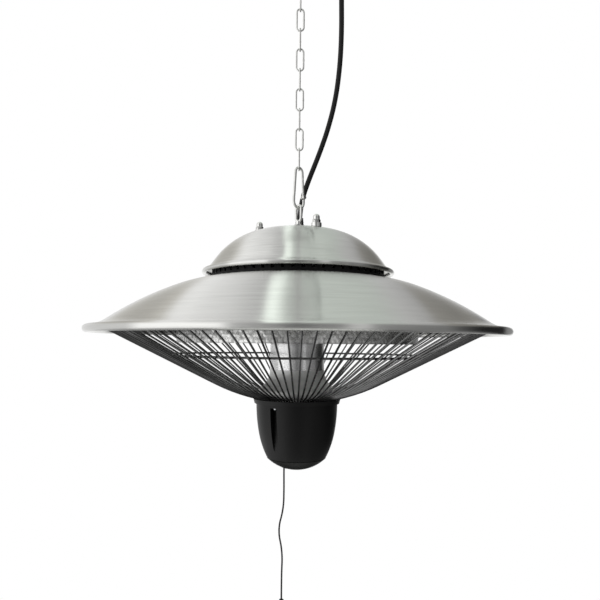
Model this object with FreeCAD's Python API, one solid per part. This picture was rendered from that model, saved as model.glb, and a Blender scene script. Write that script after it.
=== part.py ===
import FreeCAD, Part
import math
import os
from FreeCAD import Vector

# Brim: spun sheet, rolled rim, profile from the rim inwards
rim_r = 300.0
rim_bead_d = 10.5
brim_sheet = 1.0
brim_flare_r = 40.8
brim_slope = 34.7
brim_outer_arc = 451.0
brim_turn = 21.3
brim_crown_arc = 204.0
brim_hole_r = 6.0

# Top cap: spun dome, rolled edge
cap_r = 140.7
cap_bead_d = 6.5
cap_sheet = 0.8
cap_rise = 9.5
cap_flare_r = 8.7
cap_side_slope = 54.1
cap_side_len = 14.3
cap_shoulder_arc = 109.0
cap_top_slope = 9.9
curl_turn = 290.0

# Tie studs, sleeves and nuts
stud_d = 6.0
stud_pcd_r = 58.0
stud_angles = (175.4, 295.4, 55.4)
sleeve_wall = 1.6
seal_r = 7.0
seal_t = 2.2
cap_nut_af = 10.0
cap_nut_h = 5.5
cap_nut_neck = 3.0
stud_nut_h = 5.0
hole_clear = 0.25

# Vent ring between the brim and the cap
vent_inset = 14.7
vent_sheet = 1.0
vent_slots = 60
vent_slot_w = 4.0
vent_slot_h = 10.0
vent_slot_lift = 3.0

# Support plate under the cap
support_r = 76.0
support_t = 3.0
support_drop = 30.0

# Hanger eye, its nuts
eye_len = 27.6
eye_w = 14.0
eye_wire = 4.0
eye_turn = -45.0
stem_d = 8.0
stem_nut_af = 13.0
stem_nut_h = 6.5
eye_lift = 3.0

# Snap hook and gate
hook_len = 64.0
hook_w = 24.4
hook_top_w = 17.8
hook_wire = 3.8
hook_turn = 45.0
gate_low = 0.16
gate_high = 0.80
gate_d = 3.4
knuckle_r = 3.0
knuckle_w = 6.4
tongue_w = 2.0
gate_pin_d = 1.8
gate_gap = 0.35

# Chain
link_in = 29.8
link_w = 12.8
link_wire = 2.5
link_count = 10
link_gap = 0.3
hook_gap = 0.9

# Ceiling plate, hook and lead grip
plate_r = 80.0
plate_t = 3.0
plate_screw_r = 2.75
plate_screw_pcd = 50.0
ceil_hook_wire = 5.0
ceil_hook_r = 11.5
ceil_hook_arc = 290.0
shank_len = 8.0
grip_r = 11.0
grip_len = 20.0

# Power lead: route from the terminal block to the ceiling grip, rim plane at z = 0
lead_d = 7.5
lead_bush_r = 8.0
relief_len = 20.0
relief_wall = 1.2
relief_clear = 0.5
lead_points = ((1.5, 18.0, 93.0), (1.2, 18.0, 130.0), (1.5, 18.0, 174.0), (5.5, 19.0, 202.0),
               (15.5, 20.0, 231.5), (30.0, 20.0, 268.0), (44.0, 20.0, 309.0), (54.5, 16.0, 352.0),
               (60.0, 9.0, 399.0), (61.5, 3.0, 447.0), (60.6, 0.6, 497.0), (60.0, 0.0, 546.0))

# Reflector bowl
bowl_r = 175.0
bowl_edge_z = -18.0
bowl_wall = 20.0
bowl_bend_r = 50.0
bowl_sheet = 0.8

# Element: ring tube, filament, end caps, clips
ring_r = 110.0
ring_z = 15.0
tube_r = 6.0
tube_wall = 1.0
filament_r = 2.2
tube_gap_deg = 20.0
end_cap_r = 8.0
end_cap_deg = 7.0
clip_w = 8.0
clip_t = 1.0
clip_angles = (210.0, 270.0, 330.0)
element_lead_d = 3.0

# Terminal block and switch cable
block_l = 42.0
block_w = 22.0
block_h = 18.0
cable_d = 5.0
cable_bend = 12.0
block_shift = 7.0

# Centre column and pipe
column_r = 40.0
column_sheet = 0.8
foot_sleeve = 8.0
column_foot_r = 57.5
column_flare_r = 32.0
column_flare = 60.0
foot_len = 12.0
pipe_d = 12.0
pipe_wall = 2.0
pipe_nut_af = 19.0
pipe_nut_h = 6.0

# Grille
wire_d = 2.5
wire_count = 104
wire_first_deg = 1.1
grille_slope = 27.1
grille_end_slope = 13.0
grille_bend_at = 122.0
grille_end_r = 61.0
ring_wire_d = 3.0
ring_seat = 25.0
mid_ring_r = 196.0
inner_ring_r = 63.5
weld_gap = 0.02
grille_clip_count = 4
grille_clip_t = 1.2
grille_clip_deg = 2.2

# Collar and control housing
collar_r = 64.3
collar_h = 6.4
collar_draft = 1.7
collar_plate = 4.0
housing_r = 59.8
housing_wall = 2.5
housing_upper_arc = 240.0
housing_upper_turn = 10.5
housing_lower_arc = 131.0
housing_lower_turn = 16.5
spigot_h = 2.0
spigot_wall = 3.0
fit_clear = 0.3
channel_w = 10.5
channel_depth = 10.5
channel_top = 3.6
channel_len = 64.0
channel_angles = (236.5, 56.5)
screw_d = 3.0
screw_head_r = 3.0
screw_head_h = 2.2
screw_bite = 6.0
boss_r = 4.0

# Bottom cover
cover_start = 44.0
cover_seam = 0.5
cover_lip = 6.0

# Pull switch
cord_x = -18.1
switch_l = 46.0
switch_w = 30.0
switch_h = 57.0
switch_drop = 14.0
switch_wall = 2.5
plunger_rod_d = 4.4
plunger_disc_r = 5.5
plunger_disc_h = 4.0
plunger_tail = 8.0
pull_travel = 10.0
spring_len = 22.0
spring_wall = 0.9
wheel_r = 9.0
wheel_t = 6.0
wheel_teeth = 8
wheel_pin_d = 3.0
lid_t = 3.0
pawl_w = 4.0
pawl_len = 4.0
post_r = 3.0
run_clear = 0.35

# Pull cord, bush and knob; cord route from the plunger down, rim plane at z = 0
cord_d = 2.5
bush_r = 4.5
bush_flange_r = 5.5
bush_flange_t = 0.8
cord_points = ((-18.1, 0.0, -178.0), (-18.3, 0.0, -205.0), (-17.9, 0.0, -233.0), (-18.3, 0.0, -263.0),
               (-26.6, 0.0, -294.0), (-19.2, 0.0, -327.0), (-20.6, 0.0, -364.0), (-20.3, 0.0, -402.0))
knob_r = 8.0
knob_len = 30.0

AXIS = Vector(0, 0, 1)
ORIGIN = Vector(0, 0, 0)


def rz(r, z):
    """Point of a profile in the XZ plane."""
    return Vector(r, 0, z)


def unit(deg):
    """Unit direction in the profile plane."""
    a = math.radians(deg)
    return Vector(math.cos(a), 0, math.sin(a))


def walk(start, heading, steps):
    """Follow lines and arcs; returns [(kind, from, heading, value, turn, to, new heading)]."""
    out = []
    p = start
    h = heading
    for step in steps:
        if step[0] == "L":
            q = p + unit(h) * step[1]
            out.append(("L", p, h, step[1], 0.0, q, h))
            p = q
        else:
            radius, turn = step[1], step[2]
            side = 1.0 if turn > 0 else -1.0
            centre = p + unit(h + 90) * (side * radius)
            q = centre + unit(h + turn - 90) * (side * radius)
            out.append(("A", p, h, radius, turn, q, h + turn))
            p = q
            h = h + turn
    return out


def side_edges(path, offset):
    """Edges of a walked path moved sideways by offset (positive is left)."""
    edges = []
    for kind, p, h, value, turn, q, h2 in path:
        a = p + unit(h + 90) * offset
        b = q + unit(h2 + 90) * offset
        if kind == "L":
            edges.append(Part.makeLine(a, b))
        else:
            side = 1.0 if turn > 0 else -1.0
            centre = p + unit(h + 90) * (side * value)
            radius = value - side * offset
            m = centre + unit(h + turn / 2.0 - 90) * (side * radius)
            edges.append(Part.Arc(a, m, b).toShape())
    return edges


def strip(path, t):
    """Closed face of sheet thickness t about a walked path."""
    left = side_edges(path, t / 2.0)
    right = side_edges(path, -t / 2.0)
    first = path[0]
    last = path[-1]
    a = first[1] + unit(first[2] + 90) * (t / 2.0)
    b = first[1] - unit(first[2] + 90) * (t / 2.0)
    c = last[5] + unit(last[6] + 90) * (t / 2.0)
    d = last[5] - unit(last[6] + 90) * (t / 2.0)
    edges = left + [Part.makeLine(c, d)] + right + [Part.makeLine(b, a)]
    wire = Part.Wire(Part.__sortEdges__(edges))
    return Part.Face(wire)


def turned(face, angle=360.0):
    """Solid of revolution about the vertical axis."""
    return face.revolve(ORIGIN, AXIS, angle)


def poly_face(points):
    """Face in the XZ plane from (r, z) corners."""
    pts = [rz(r, z) for r, z in points]
    return Part.Face(Part.makePolygon(pts + [pts[0]]))


def rod(r, z0, z1, x=0.0, y=0.0):
    """Upright cylinder between two heights."""
    return Part.makeCylinder(r, z1 - z0, Vector(x, y, z0))


def hexagon(af, z0, z1, x=0.0, y=0.0, turn=0.0):
    """Upright hexagonal prism, af across its flats."""
    c = af / math.sqrt(3.0)
    pts = []
    for i in range(7):
        a = math.radians(60.0 * i + turn)
        pts.append(Vector(x + c * math.cos(a), y + c * math.sin(a), z0))
    return Part.Face(Part.makePolygon(pts)).extrude(Vector(0, 0, z1 - z0))


def box(x0, x1, y0, y1, z0, z1):
    """Box between two corners."""
    return Part.makeBox(x1 - x0, y1 - y0, z1 - z0, Vector(x0, y0, z0))


def at_angle(shape, deg):
    """Copy turned about the vertical axis."""
    s = shape.copy()
    s.rotate(ORIGIN, AXIS, deg)
    return s


def polar(r, deg):
    """Plan position on a circle."""
    return r * math.cos(math.radians(deg)), r * math.sin(math.radians(deg))


def tube(edges, r):
    """Round bar along a chain of tangent edges."""
    wire = Part.Wire(edges)
    e = wire.Edges[0]
    p = e.valueAt(e.FirstParameter)
    d = e.tangentAt(e.FirstParameter)
    ring = Part.Wire([Part.Circle(p, d, r).toShape()])
    return wire.makePipeShell([ring], True, False)


def rounded(points):
    """Straight runs joined by tangent arcs through route points; returns edges and arc radii."""
    pts = [Vector(*p) for p in points]
    edges = []
    radii = []
    last = pts[0]
    for i in range(1, len(pts) - 1):
        a = pts[i - 1] - pts[i]
        b = pts[i + 1] - pts[i]
        cut = 0.45 * min(a.Length, b.Length)
        u = Vector(a).normalize()
        v = Vector(b).normalize()
        turn = math.pi - u.getAngle(v)
        radius = cut / math.tan(turn / 2.0)
        p = pts[i] + u * cut
        q = pts[i] + v * cut
        inward = (u + v).normalize()
        centre = pts[i] + inward * (radius / math.cos(turn / 2.0))
        m = centre - inward * radius
        edges.append(Part.makeLine(last, p))
        edges.append(Part.Arc(p, m, q).toShape())
        radii.append(radius)
        last = q
    edges.append(Part.makeLine(last, pts[-1]))
    return edges, radii


def fused(shapes):
    """One solid from touching pieces."""
    s = shapes[0].multiFuse(shapes[1:])
    return s.removeSplitter()


def stadium(width, length, wire):
    """Closed oval of round bar in the XZ plane, outer width and length, centred."""
    r = wire / 2.0
    c = width / 2.0 - r
    half = length / 2.0 - width / 2.0
    legs = [rod(r, -half, half, c, 0), rod(r, -half, half, -c, 0)]
    high = Part.Face(Part.Wire([Part.Circle(Vector(c, 0, half), AXIS, r).toShape()]))
    low = Part.Face(Part.Wire([Part.Circle(Vector(c, 0, -half), AXIS, r).toShape()]))
    top = high.revolve(Vector(0, 0, half), Vector(0, -1, 0), 180)
    end = low.revolve(Vector(0, 0, -half), Vector(0, 1, 0), 180)
    return fused(legs + [top, end])


parts = {}

# Brim profile: from the curl, over the flare, up both arcs to the flat crown
bead_r = rim_bead_d / 2.0
brim_mid = bead_r - brim_sheet / 2.0
bead_c = rim_r - bead_r
brim_path_out = walk(rz(bead_c, brim_mid), 180.0,
                     [("A", brim_flare_r, -brim_slope), ("A", brim_outer_arc, brim_slope - brim_turn),
                      ("A", brim_crown_arc, brim_turn)])
flare_end = brim_path_out[0][5]
crown_edge = brim_path_out[-1][5]
crown_z = crown_edge.z
brim_path_out += walk(crown_edge, 180.0, [("L", crown_edge.x - brim_hole_r)])
curl = walk(rz(bead_c, brim_mid), 0.0, [("A", brim_mid, -curl_turn)])
brim = fused([turned(strip(brim_path_out, brim_sheet)), turned(strip(curl, brim_sheet))])
crown_top = crown_z + brim_sheet / 2.0
crown_low = crown_z - brim_sheet / 2.0

# Top cap profile: from its curl up the flare, the side and the shoulder to the middle
cap_bead_r = cap_bead_d / 2.0
cap_mid = cap_bead_r - cap_sheet / 2.0
cap_bead_c = cap_r - cap_bead_r
cap_z = crown_z + cap_rise
cap_path = walk(rz(cap_bead_c, cap_z + cap_mid), 180.0,
                [("A", cap_flare_r, -cap_side_slope), ("L", cap_side_len),
                 ("A", cap_shoulder_arc, cap_side_slope - cap_top_slope)])
shoulder = cap_path[-1][5]
cap_top_arc = shoulder.x / math.sin(math.radians(cap_top_slope))
cap_path += walk(shoulder, 180.0 - cap_top_slope, [("A", cap_top_arc, cap_top_slope)])
cap_apex = cap_path[-1][5].z
cap_top = cap_apex + cap_sheet / 2.0
cap_curl = walk(rz(cap_bead_c, cap_z + cap_mid), 0.0, [("A", cap_mid, -curl_turn)])
top_cap = fused([turned(strip(cap_path, cap_sheet)), turned(strip(cap_curl, cap_sheet))])
cap_skin = side_edges(cap_path[1:], -cap_sheet / 2.0)
skin_a = cap_skin[0].Vertexes[0].Point
skin_b = cap_skin[-1].Vertexes[-1].Point
skin_face = Part.Face(Part.Wire(Part.__sortEdges__(
    cap_skin + [Part.makeLine(skin_b, rz(0, skin_a.z)), Part.makeLine(rz(0, skin_a.z), skin_a)])))
cap_outside = turned(skin_face)
cap_inner_edges = side_edges(cap_path[1:], cap_sheet / 2.0)
in_a = cap_inner_edges[0].Vertexes[0].Point
in_b = cap_inner_edges[-1].Vertexes[-1].Point
inner_face = Part.Face(Part.Wire(Part.__sortEdges__(
    cap_inner_edges + [Part.makeLine(in_b, rz(0, in_a.z)), Part.makeLine(rz(0, in_a.z), in_a)])))
cap_inside = turned(inner_face)

# Heights of the plates that the studs hold
support_top = cap_apex - support_drop
support_low = support_top - support_t
bowl_top = bowl_edge_z + bowl_wall + bowl_bend_r + bowl_sheet / 2.0
bowl_low = bowl_top - bowl_sheet

# Reflector bowl: wall, bend and flat crown
bowl_mid = bowl_r - bowl_sheet / 2.0
bowl_path = walk(rz(bowl_mid, bowl_edge_z), 90.0,
                 [("L", bowl_wall), ("A", bowl_bend_r, 90.0)])
bowl_hole_r = pipe_d / 2.0 + hole_clear
bowl_path += walk(bowl_path[-1][5], 180.0, [("L", bowl_path[-1][5].x - bowl_hole_r)])
reflector_bowl = turned(strip(bowl_path, bowl_sheet))

# Tie studs with sleeves, nuts and seals
stud_r = stud_d / 2.0
stud_hole = stud_r + hole_clear
sleeve_r = stud_hole + sleeve_wall
cap_slope_z = cap_top - stud_pcd_r * math.tan(math.radians(cap_top_slope)) / 2.0
seal_top = cap_slope_z + seal_t + seal_r * math.tan(math.radians(cap_top_slope))
nut_neck_top = seal_top + cap_nut_h + cap_nut_neck
nut_hole_top = nut_neck_top + 1.5
stud_low = bowl_low - stud_nut_h - 4.0
studs, sleeves, seals, cap_nuts, stud_nuts, stud_holes = [], [], [], [], [], []
for deg in stud_angles:
    x, y = polar(stud_pcd_r, deg)
    studs.append(rod(stud_r, stud_low, nut_hole_top - hole_clear, x, y))
    stud_holes.append(rod(stud_hole, bowl_low - 1, cap_top, x, y))
    for z0, z1 in ((support_top, cap_top), (crown_top, support_low), (bowl_top, crown_low)):
        s = rod(sleeve_r, z0, z1, x, y).cut(rod(stud_hole, z0 - 1, z1 + 1, x, y))
        sleeves.append(s.common(cap_inside) if z1 == cap_top else s)
    seal = rod(seal_r, cap_slope_z - 6.0, seal_top, x, y)
    seals.append(seal.cut(rod(stud_hole, cap_slope_z - 10.0, seal_top + 1, x, y)).cut(cap_outside))
    dome_r = cap_nut_af / 2.0 - 0.3
    nut = hexagon(cap_nut_af, seal_top, seal_top + cap_nut_h, x, y, deg)
    dome = Part.makeSphere(dome_r, Vector(x, y, nut_neck_top))
    dome = dome.common(rod(dome_r + 1.0, nut_neck_top, nut_neck_top + dome_r + 1.0, x, y))
    nut = fused([nut, rod(dome_r, seal_top + 1.0, nut_neck_top, x, y), dome])
    cap_nuts.append(nut.cut(rod(stud_r + hole_clear / 2.0, seal_top - 1, nut_hole_top, x, y)))
    low_nut = hexagon(cap_nut_af, bowl_low - stud_nut_h, bowl_low, x, y, deg)
    stud_nuts.append(low_nut.cut(rod(stud_r + hole_clear / 2.0, stud_low - 1, bowl_low + 1, x, y)))
stud_cut = Part.makeCompound(stud_holes)

# Hanger eye: oval eye on a threaded stem through cap and support plate
stem_r = stem_d / 2.0
stem_hole = stem_r + hole_clear
eye_low = cap_top + stem_nut_h + eye_lift
eye = stadium(eye_w, eye_len, eye_wire)
eye.translate(Vector(0, 0, eye_low + eye_len / 2.0))
eye.rotate(ORIGIN, AXIS, eye_turn)
stem_low = support_low - stem_nut_h - 3.0
hanger_eye = fused([eye, rod(stem_r, stem_low, eye_low + eye_wire / 2.0)])
bore = rod(stem_r + hole_clear / 2.0, stem_low, eye_low + eye_wire)
hanger_nut = hexagon(stem_nut_af, cap_top, cap_top + stem_nut_h, 0, 0, 12.0).cut(bore)
lock_top = hexagon(stem_nut_af, support_top, support_top + stem_nut_h).cut(bore)
lock_low = hexagon(stem_nut_af, support_low - stem_nut_h, support_low).cut(bore)

# Lead bush in the cap, seated on its curve
lead_r = lead_d / 2.0
lead_x, lead_y = lead_points[0][0], lead_points[0][1]
lead_hole = lead_r + hole_clear
bush_neck_r = lead_r + relief_clear + 1.8
relief_hole = lead_r + relief_clear
relief_top = cap_top + relief_len
bush_top = rod(lead_bush_r, cap_top - 4.0, cap_top + 3.5, lead_x, lead_y).cut(cap_outside)
relief = Part.makeCone(lead_bush_r - 1.0, relief_hole + relief_wall, relief_len - 3.0,
                       Vector(lead_x, lead_y, cap_top + 3.0))
bush_neck = rod(bush_neck_r, cap_apex - 7.0, cap_top + 1.0, lead_x, lead_y)
lead_bush = fused([bush_top, relief, bush_neck])
lead_bush = lead_bush.cut(rod(relief_hole, cap_apex - 10.0, relief_top + 1.0, lead_x, lead_y))
lead_cut = rod(bush_neck_r + hole_clear, cap_apex - 5.0, cap_top + 5.0, lead_x, lead_y)

top_cap = top_cap.cut(stud_cut).cut(rod(stem_hole, cap_apex - 3, cap_top + 1)).cut(lead_cut)
brim = brim.cut(stud_cut)

# Vent ring: slotted skirt that stands on the brim and closes the gap under the cap
brim_skin = side_edges(brim_path_out[1:], -brim_sheet / 2.0)
s_a = brim_skin[0].Vertexes[0].Point
s_b = brim_skin[-1].Vertexes[-1].Point
brim_under = turned(Part.Face(Part.Wire(Part.__sortEdges__(
    brim_skin + [Part.makeLine(s_b, rz(s_b.x, s_a.z)), Part.makeLine(rz(s_b.x, s_a.z), s_a)]))))
cap_room = turned(Part.Face(Part.Wire(Part.__sortEdges__(
    cap_inner_edges + [Part.makeLine(in_b, rz(0, s_a.z)), Part.makeLine(rz(0, s_a.z), rz(in_a.x, s_a.z)),
                       Part.makeLine(rz(in_a.x, s_a.z), in_a)]))))
vent_r = cap_r - vent_inset
vent_ring = rod(vent_r, s_a.z, cap_apex).cut(rod(vent_r - vent_sheet, s_a.z - 1, cap_apex + 1))
vent_ring = vent_ring.common(cap_room).cut(brim_under)
vent_cuts = []
for i in range(vent_slots):
    slot_box = box(vent_r - vent_sheet - 1.0, vent_r + 1.0, -vent_slot_w / 2.0, vent_slot_w / 2.0,
                   crown_top + vent_slot_lift, crown_top + vent_slot_lift + vent_slot_h)
    vent_cuts.append(at_angle(slot_box, (i + 0.5) * 360.0 / vent_slots))
vent_ring = vent_ring.cut(Part.makeCompound(vent_cuts))

support = rod(support_r, support_low, support_top).cut(stud_cut)
support = support.cut(rod(stem_hole, support_low - 1, support_top + 1))
support = support.cut(rod(lead_hole + 2.0, support_low - 1, support_top + 1, lead_x, lead_y))

parts["brim"] = brim
parts["top_cap"] = top_cap
parts["tie_studs"] = Part.makeCompound(studs)
parts["stud_sleeves"] = Part.makeCompound(sleeves)
parts["seal_washers"] = Part.makeCompound(seals)
parts["cap_nuts"] = Part.makeCompound(cap_nuts)
parts["stud_nuts"] = Part.makeCompound(stud_nuts)
parts["vent_ring"] = vent_ring
parts["support_plate"] = support
parts["hanger_eye"] = hanger_eye
parts["hanger_nut"] = hanger_nut
parts["hanger_locknuts"] = Part.makeCompound([lock_top, lock_low])
parts["lead_bush"] = lead_bush

# Snap hook: pear outline with a gap for the gate, in its own plane then turned
hook_r = hook_wire / 2.0
big = hook_w / 2.0 - hook_r
small = hook_top_w / 2.0 - hook_r
hook_low = eye_low + eye_len - eye_wire - link_gap - hook_wire
c1 = hook_low + hook_r + big
c2 = hook_low + hook_len - hook_r - small
lean = math.degrees(math.asin((big - small) / (c2 - c1)))
right_low = rz(0, c1) + unit(lean) * big
right_high = rz(0, c2) + unit(lean) * small
left_low = rz(0, c1) + unit(180 - lean) * big
left_high = rz(0, c2) + unit(180 - lean) * small
gate_a = right_low + (right_high - right_low) * gate_low
gate_b = right_low + (right_high - right_low) * gate_high
hook_path = [Part.makeLine(gate_a, right_low),
             Part.Arc(right_low, rz(0, c1 - big), left_low).toShape(),
             Part.makeLine(left_low, left_high),
             Part.Arc(left_high, rz(0, c2 + small), right_high).toShape(),
             Part.makeLine(right_high, gate_b)]
gate_run = (gate_b - gate_a).normalize()
slot_w = tongue_w + 2.0 * gate_gap
hook_body = tube(hook_path, hook_r)
knuckle = Part.makeCylinder(knuckle_r, knuckle_w, gate_a - Vector(0, knuckle_w / 2.0, 0), Vector(0, 1, 0))
slot = Part.makeCylinder(knuckle_r + 1.0, slot_w, gate_a - Vector(0, slot_w / 2.0, 0), Vector(0, 1, 0))
pin_hole = Part.makeCylinder(gate_pin_d / 2.0 + hole_clear / 2.0, knuckle_w + 2.0,
                             gate_a - Vector(0, knuckle_w / 2.0 + 1.0, 0), Vector(0, 1, 0))
hook_body = fused([hook_body, knuckle]).cut(slot).cut(pin_hole)
gate_pin = Part.makeCylinder(gate_pin_d / 2.0, knuckle_w, gate_a - Vector(0, knuckle_w / 2.0, 0),
                             Vector(0, 1, 0))
gate_r = gate_d / 2.0
tongue = Part.makeCylinder(knuckle_r - 0.6, tongue_w, gate_a - Vector(0, tongue_w / 2.0, 0), Vector(0, 1, 0))
gate_start = gate_a + gate_run * (knuckle_r + 1.4)
gate_len = (gate_b - gate_start).Length - gate_gap
gate_bar = Part.makeCylinder(gate_r, gate_len, gate_start, gate_run)
neck_len = knuckle_r + 3.0
neck = Part.makeBox(gate_d - 0.6, tongue_w, neck_len, Vector(-gate_d / 2.0 + 0.3, -tongue_w / 2.0, 0))
neck.rotate(ORIGIN, Vector(0, 1, 0), math.degrees(math.atan2(gate_run.x, gate_run.z)))
neck.translate(gate_a)
snap_gate = fused([tongue, neck, gate_bar])
snap_gate = snap_gate.cut(Part.makeCylinder(gate_pin_d / 2.0 + run_clear, knuckle_w + 2.0,
                          gate_a - Vector(0, knuckle_w / 2.0 + 1.0, 0), Vector(0, 1, 0)))
for name, shape in (("snap_hook", hook_body), ("snap_gate", snap_gate), ("gate_pin", gate_pin)):
    parts[name] = at_angle(shape, hook_turn)
gate_axis_x, gate_axis_y = polar(gate_a.x, hook_turn)

# Chain, alternate links turned a quarter
hook_top = hook_low + hook_len
first_in = hook_top - hook_wire - hook_gap
link_pitch = link_in - link_gap
link = stadium(link_w, link_in + 2.0 * link_wire, link_wire)
links = []
for i in range(link_count):
    one = at_angle(link, 90.0 if i % 2 == 0 else 0.0)
    one.translate(Vector(0, 0, first_in + link_in / 2.0 + i * link_pitch))
    links.append(one)
parts["chain_links"] = Part.makeCompound(links)

# Ceiling hook, plate and grip
top_in = first_in + link_in + (link_count - 1) * link_pitch
ceil_r = ceil_hook_wire / 2.0
pivot_z = top_in - link_gap - ceil_r
ring_c = pivot_z + ceil_hook_r
plate_low = ring_c + ceil_hook_r + shank_len
plate_top = plate_low + plate_t
hook_ring = Part.makeTorus(ceil_hook_r, ceil_r, ORIGIN, AXIS, 0, 360, ceil_hook_arc)
hook_ring.rotate(ORIGIN, AXIS, 90.0)
hook_ring.rotate(ORIGIN, Vector(1, 0, 0), 90.0)
hook_ring.rotate(ORIGIN, AXIS, 90.0)
hook_ring.translate(Vector(0, 0, ring_c))
parts["ceiling_hook"] = fused([hook_ring, rod(ceil_r, ring_c + ceil_hook_r, plate_low)])
grip_x, grip_y = lead_points[-1][0], lead_points[-1][1]
plate = rod(plate_r, plate_low, plate_top)
for i in range(3):
    x, y = polar(plate_screw_pcd, 90.0 + 120.0 * i)
    plate = plate.cut(rod(plate_screw_r, plate_low - 1, plate_top + 1, x, y))
parts["ceiling_plate"] = plate
grip = rod(grip_r, plate_low - grip_len, plate_low, grip_x, grip_y)
grip_low = plate_low - grip_len
low_edges = [e for e in grip.Edges if abs(e.BoundBox.ZMax - grip_low) < 0.01]
grip = grip.makeFillet(grip_r * 0.3, [e for e in low_edges if e.BoundBox.XLength > grip_r])
parts["ceiling_grip"] = grip.cut(rod(lead_hole, plate_low - grip_len - 1, plate_low - 4.0, grip_x, grip_y))

# Power lead
lead_route = list(lead_points)
lead_route[0] = (lead_x, lead_y, crown_top + block_h)
lead_route[-1] = (grip_x, grip_y, plate_low - 6.0)
lead_edges, lead_radii = rounded(lead_route)
power_lead = tube(lead_edges, lead_r)
parts["power_lead"] = power_lead

# Terminal block on the brim crown
block_y = lead_y + block_shift
block = box(lead_x - block_l / 2.0, lead_x + block_l / 2.0, block_y - block_w / 2.0, block_y + block_w / 2.0,
            crown_top, crown_top + block_h)
parts["terminal_block"] = block

# Ring element inside the bowl
def ring_piece(face, from_deg, sweep):
    """Part ring from a section at angle 0."""
    s = face.revolve(ORIGIN, AXIS, sweep)
    s.rotate(ORIGIN, AXIS, from_deg)
    return s


def disc_face(r, cx, cz):
    """Round section in the XZ plane."""
    return Part.Face(Part.Wire([Part.Circle(rz(cx, cz), Vector(0, 1, 0), r).toShape()]))


tube_sweep = 360.0 - 2.0 * tube_gap_deg
tube_from = 90.0 + tube_gap_deg
glass = ring_piece(disc_face(tube_r, ring_r, ring_z).cut(disc_face(tube_r - tube_wall, ring_r, ring_z)),
                   tube_from, tube_sweep)
parts["quartz_tube"] = glass
parts["filament"] = ring_piece(disc_face(filament_r, ring_r, ring_z), tube_from, tube_sweep)
cap_face = disc_face(end_cap_r, ring_r, ring_z)
end_caps = [ring_piece(cap_face, tube_from - end_cap_deg, end_cap_deg),
            ring_piece(cap_face, tube_from + tube_sweep, end_cap_deg)]
parts["element_end_caps"] = Part.makeCompound(end_caps)
clips = []
clip_in = tube_r + hole_clear
clip_out = clip_in + clip_t
for deg in clip_angles:
    band = Part.makeCylinder(clip_out, clip_w, Vector(ring_r, -clip_w / 2.0, ring_z), Vector(0, 1, 0))
    strap = box(ring_r - clip_t / 2.0, ring_r + clip_t / 2.0, -clip_w / 2.0, clip_w / 2.0, ring_z, bowl_low)
    hole = disc_face(clip_in, ring_r, ring_z)
    one = fused([band, strap])
    one = one.cut(ring_piece(hole, -5.0, 10.0))
    clips.append(at_angle(one, deg))
parts["element_clips"] = Part.makeCompound(clips)

# Element leads from the end caps up through both crowns to the terminal block
lead_plane = crown_top + block_h / 2.0
lead_bend = 8.0
element_leads = []
lead_slots = []
for side in (1.0, -1.0):
    deg = 90.0 + side * (tube_gap_deg - end_cap_deg / 2.0)
    x, y = polar(ring_r, deg)
    face_y = block_y + block_w / 2.0
    tx = lead_x - side * block_l / 4.0
    flat = Vector(tx - x, face_y - y, 0)
    run = Vector(flat).normalize()
    up = Vector(0, 0, 1)
    base = Vector(x, y, ring_z + end_cap_r)
    turn_at = Vector(x, y, lead_plane)
    mid = turn_at + (run - up).normalize() * (lead_bend * (math.sqrt(2.0) - 1.0))
    edges = [Part.makeLine(base, turn_at - up * lead_bend),
             Part.Arc(turn_at - up * lead_bend, mid, turn_at + run * lead_bend).toShape(),
             Part.makeLine(turn_at + run * lead_bend, turn_at + flat)]
    one = tube(edges, element_lead_d / 2.0)
    element_leads.append(one.cut(block))
    lead_slots.append(rod(element_lead_d / 2.0 + 1.0, ring_z + end_cap_r + 2, crown_top + 1, x, y))
parts["element_leads"] = Part.makeCompound(element_leads)
slots = Part.makeCompound(lead_slots)
parts["brim"] = parts["brim"].cut(slots)
reflector_bowl = reflector_bowl.cut(stud_cut).cut(slots)
parts["reflector_bowl"] = reflector_bowl

# Grille: wires from the outer ring down to the collar, rings welded on their inner side
wire_r = wire_d / 2.0
ring_wire_r = ring_wire_d / 2.0
seat_turn = math.radians(ring_seat)
seat_point = rz(bead_c - brim_flare_r * math.sin(seat_turn),
                brim_mid + brim_flare_r * (1.0 - math.cos(seat_turn)))
under = unit(270.0 - ring_seat)
outer_ring = seat_point + under * (brim_sheet / 2.0 + ring_wire_r + weld_gap)
reach = wire_r + ring_wire_r + weld_gap
wire_side = unit(grille_slope - 90.0)
top_point = outer_ring + wire_side * reach
wire_start = top_point + unit(grille_slope) * ring_wire_r
straight = (wire_start.x - grille_bend_at) / math.cos(math.radians(grille_slope))
bend_dx = grille_bend_at - grille_end_r
bend_arc = bend_dx / (math.sin(math.radians(grille_slope)) - math.sin(math.radians(grille_end_slope)))
wire_path = walk(wire_start, 180.0 + grille_slope,
                 [("L", straight), ("A", bend_arc, grille_end_slope - grille_slope)])
wire_end = wire_path[-1][5]
one_wire = tube(side_edges(wire_path, 0.0), wire_r)
wires = []
for i in range(wire_count):
    wires.append(at_angle(one_wire, 270.0 + wire_first_deg + i * 360.0 / wire_count))
parts["grille_wires"] = Part.makeCompound(wires)


def wire_z(r):
    """Height of the wire centre line at radius r, with its slope in degrees."""
    if r >= grille_bend_at:
        return wire_start.z - (wire_start.x - r) * math.tan(math.radians(grille_slope)), grille_slope
    s = math.sin(math.radians(grille_slope)) - (grille_bend_at - r) / bend_arc
    a = math.asin(s)
    z_bend = wire_path[0][5].z
    return z_bend - bend_arc * (math.cos(a) - math.cos(math.radians(grille_slope))), math.degrees(a)


def welded_ring(r):
    """Ring of round bar on the inner side of the wires at radius r."""
    z, slope = wire_z(r)
    c = rz(r, z) - unit(slope - 90.0) * reach
    return Part.makeTorus(c.x, ring_wire_r, Vector(0, 0, c.z))


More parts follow.
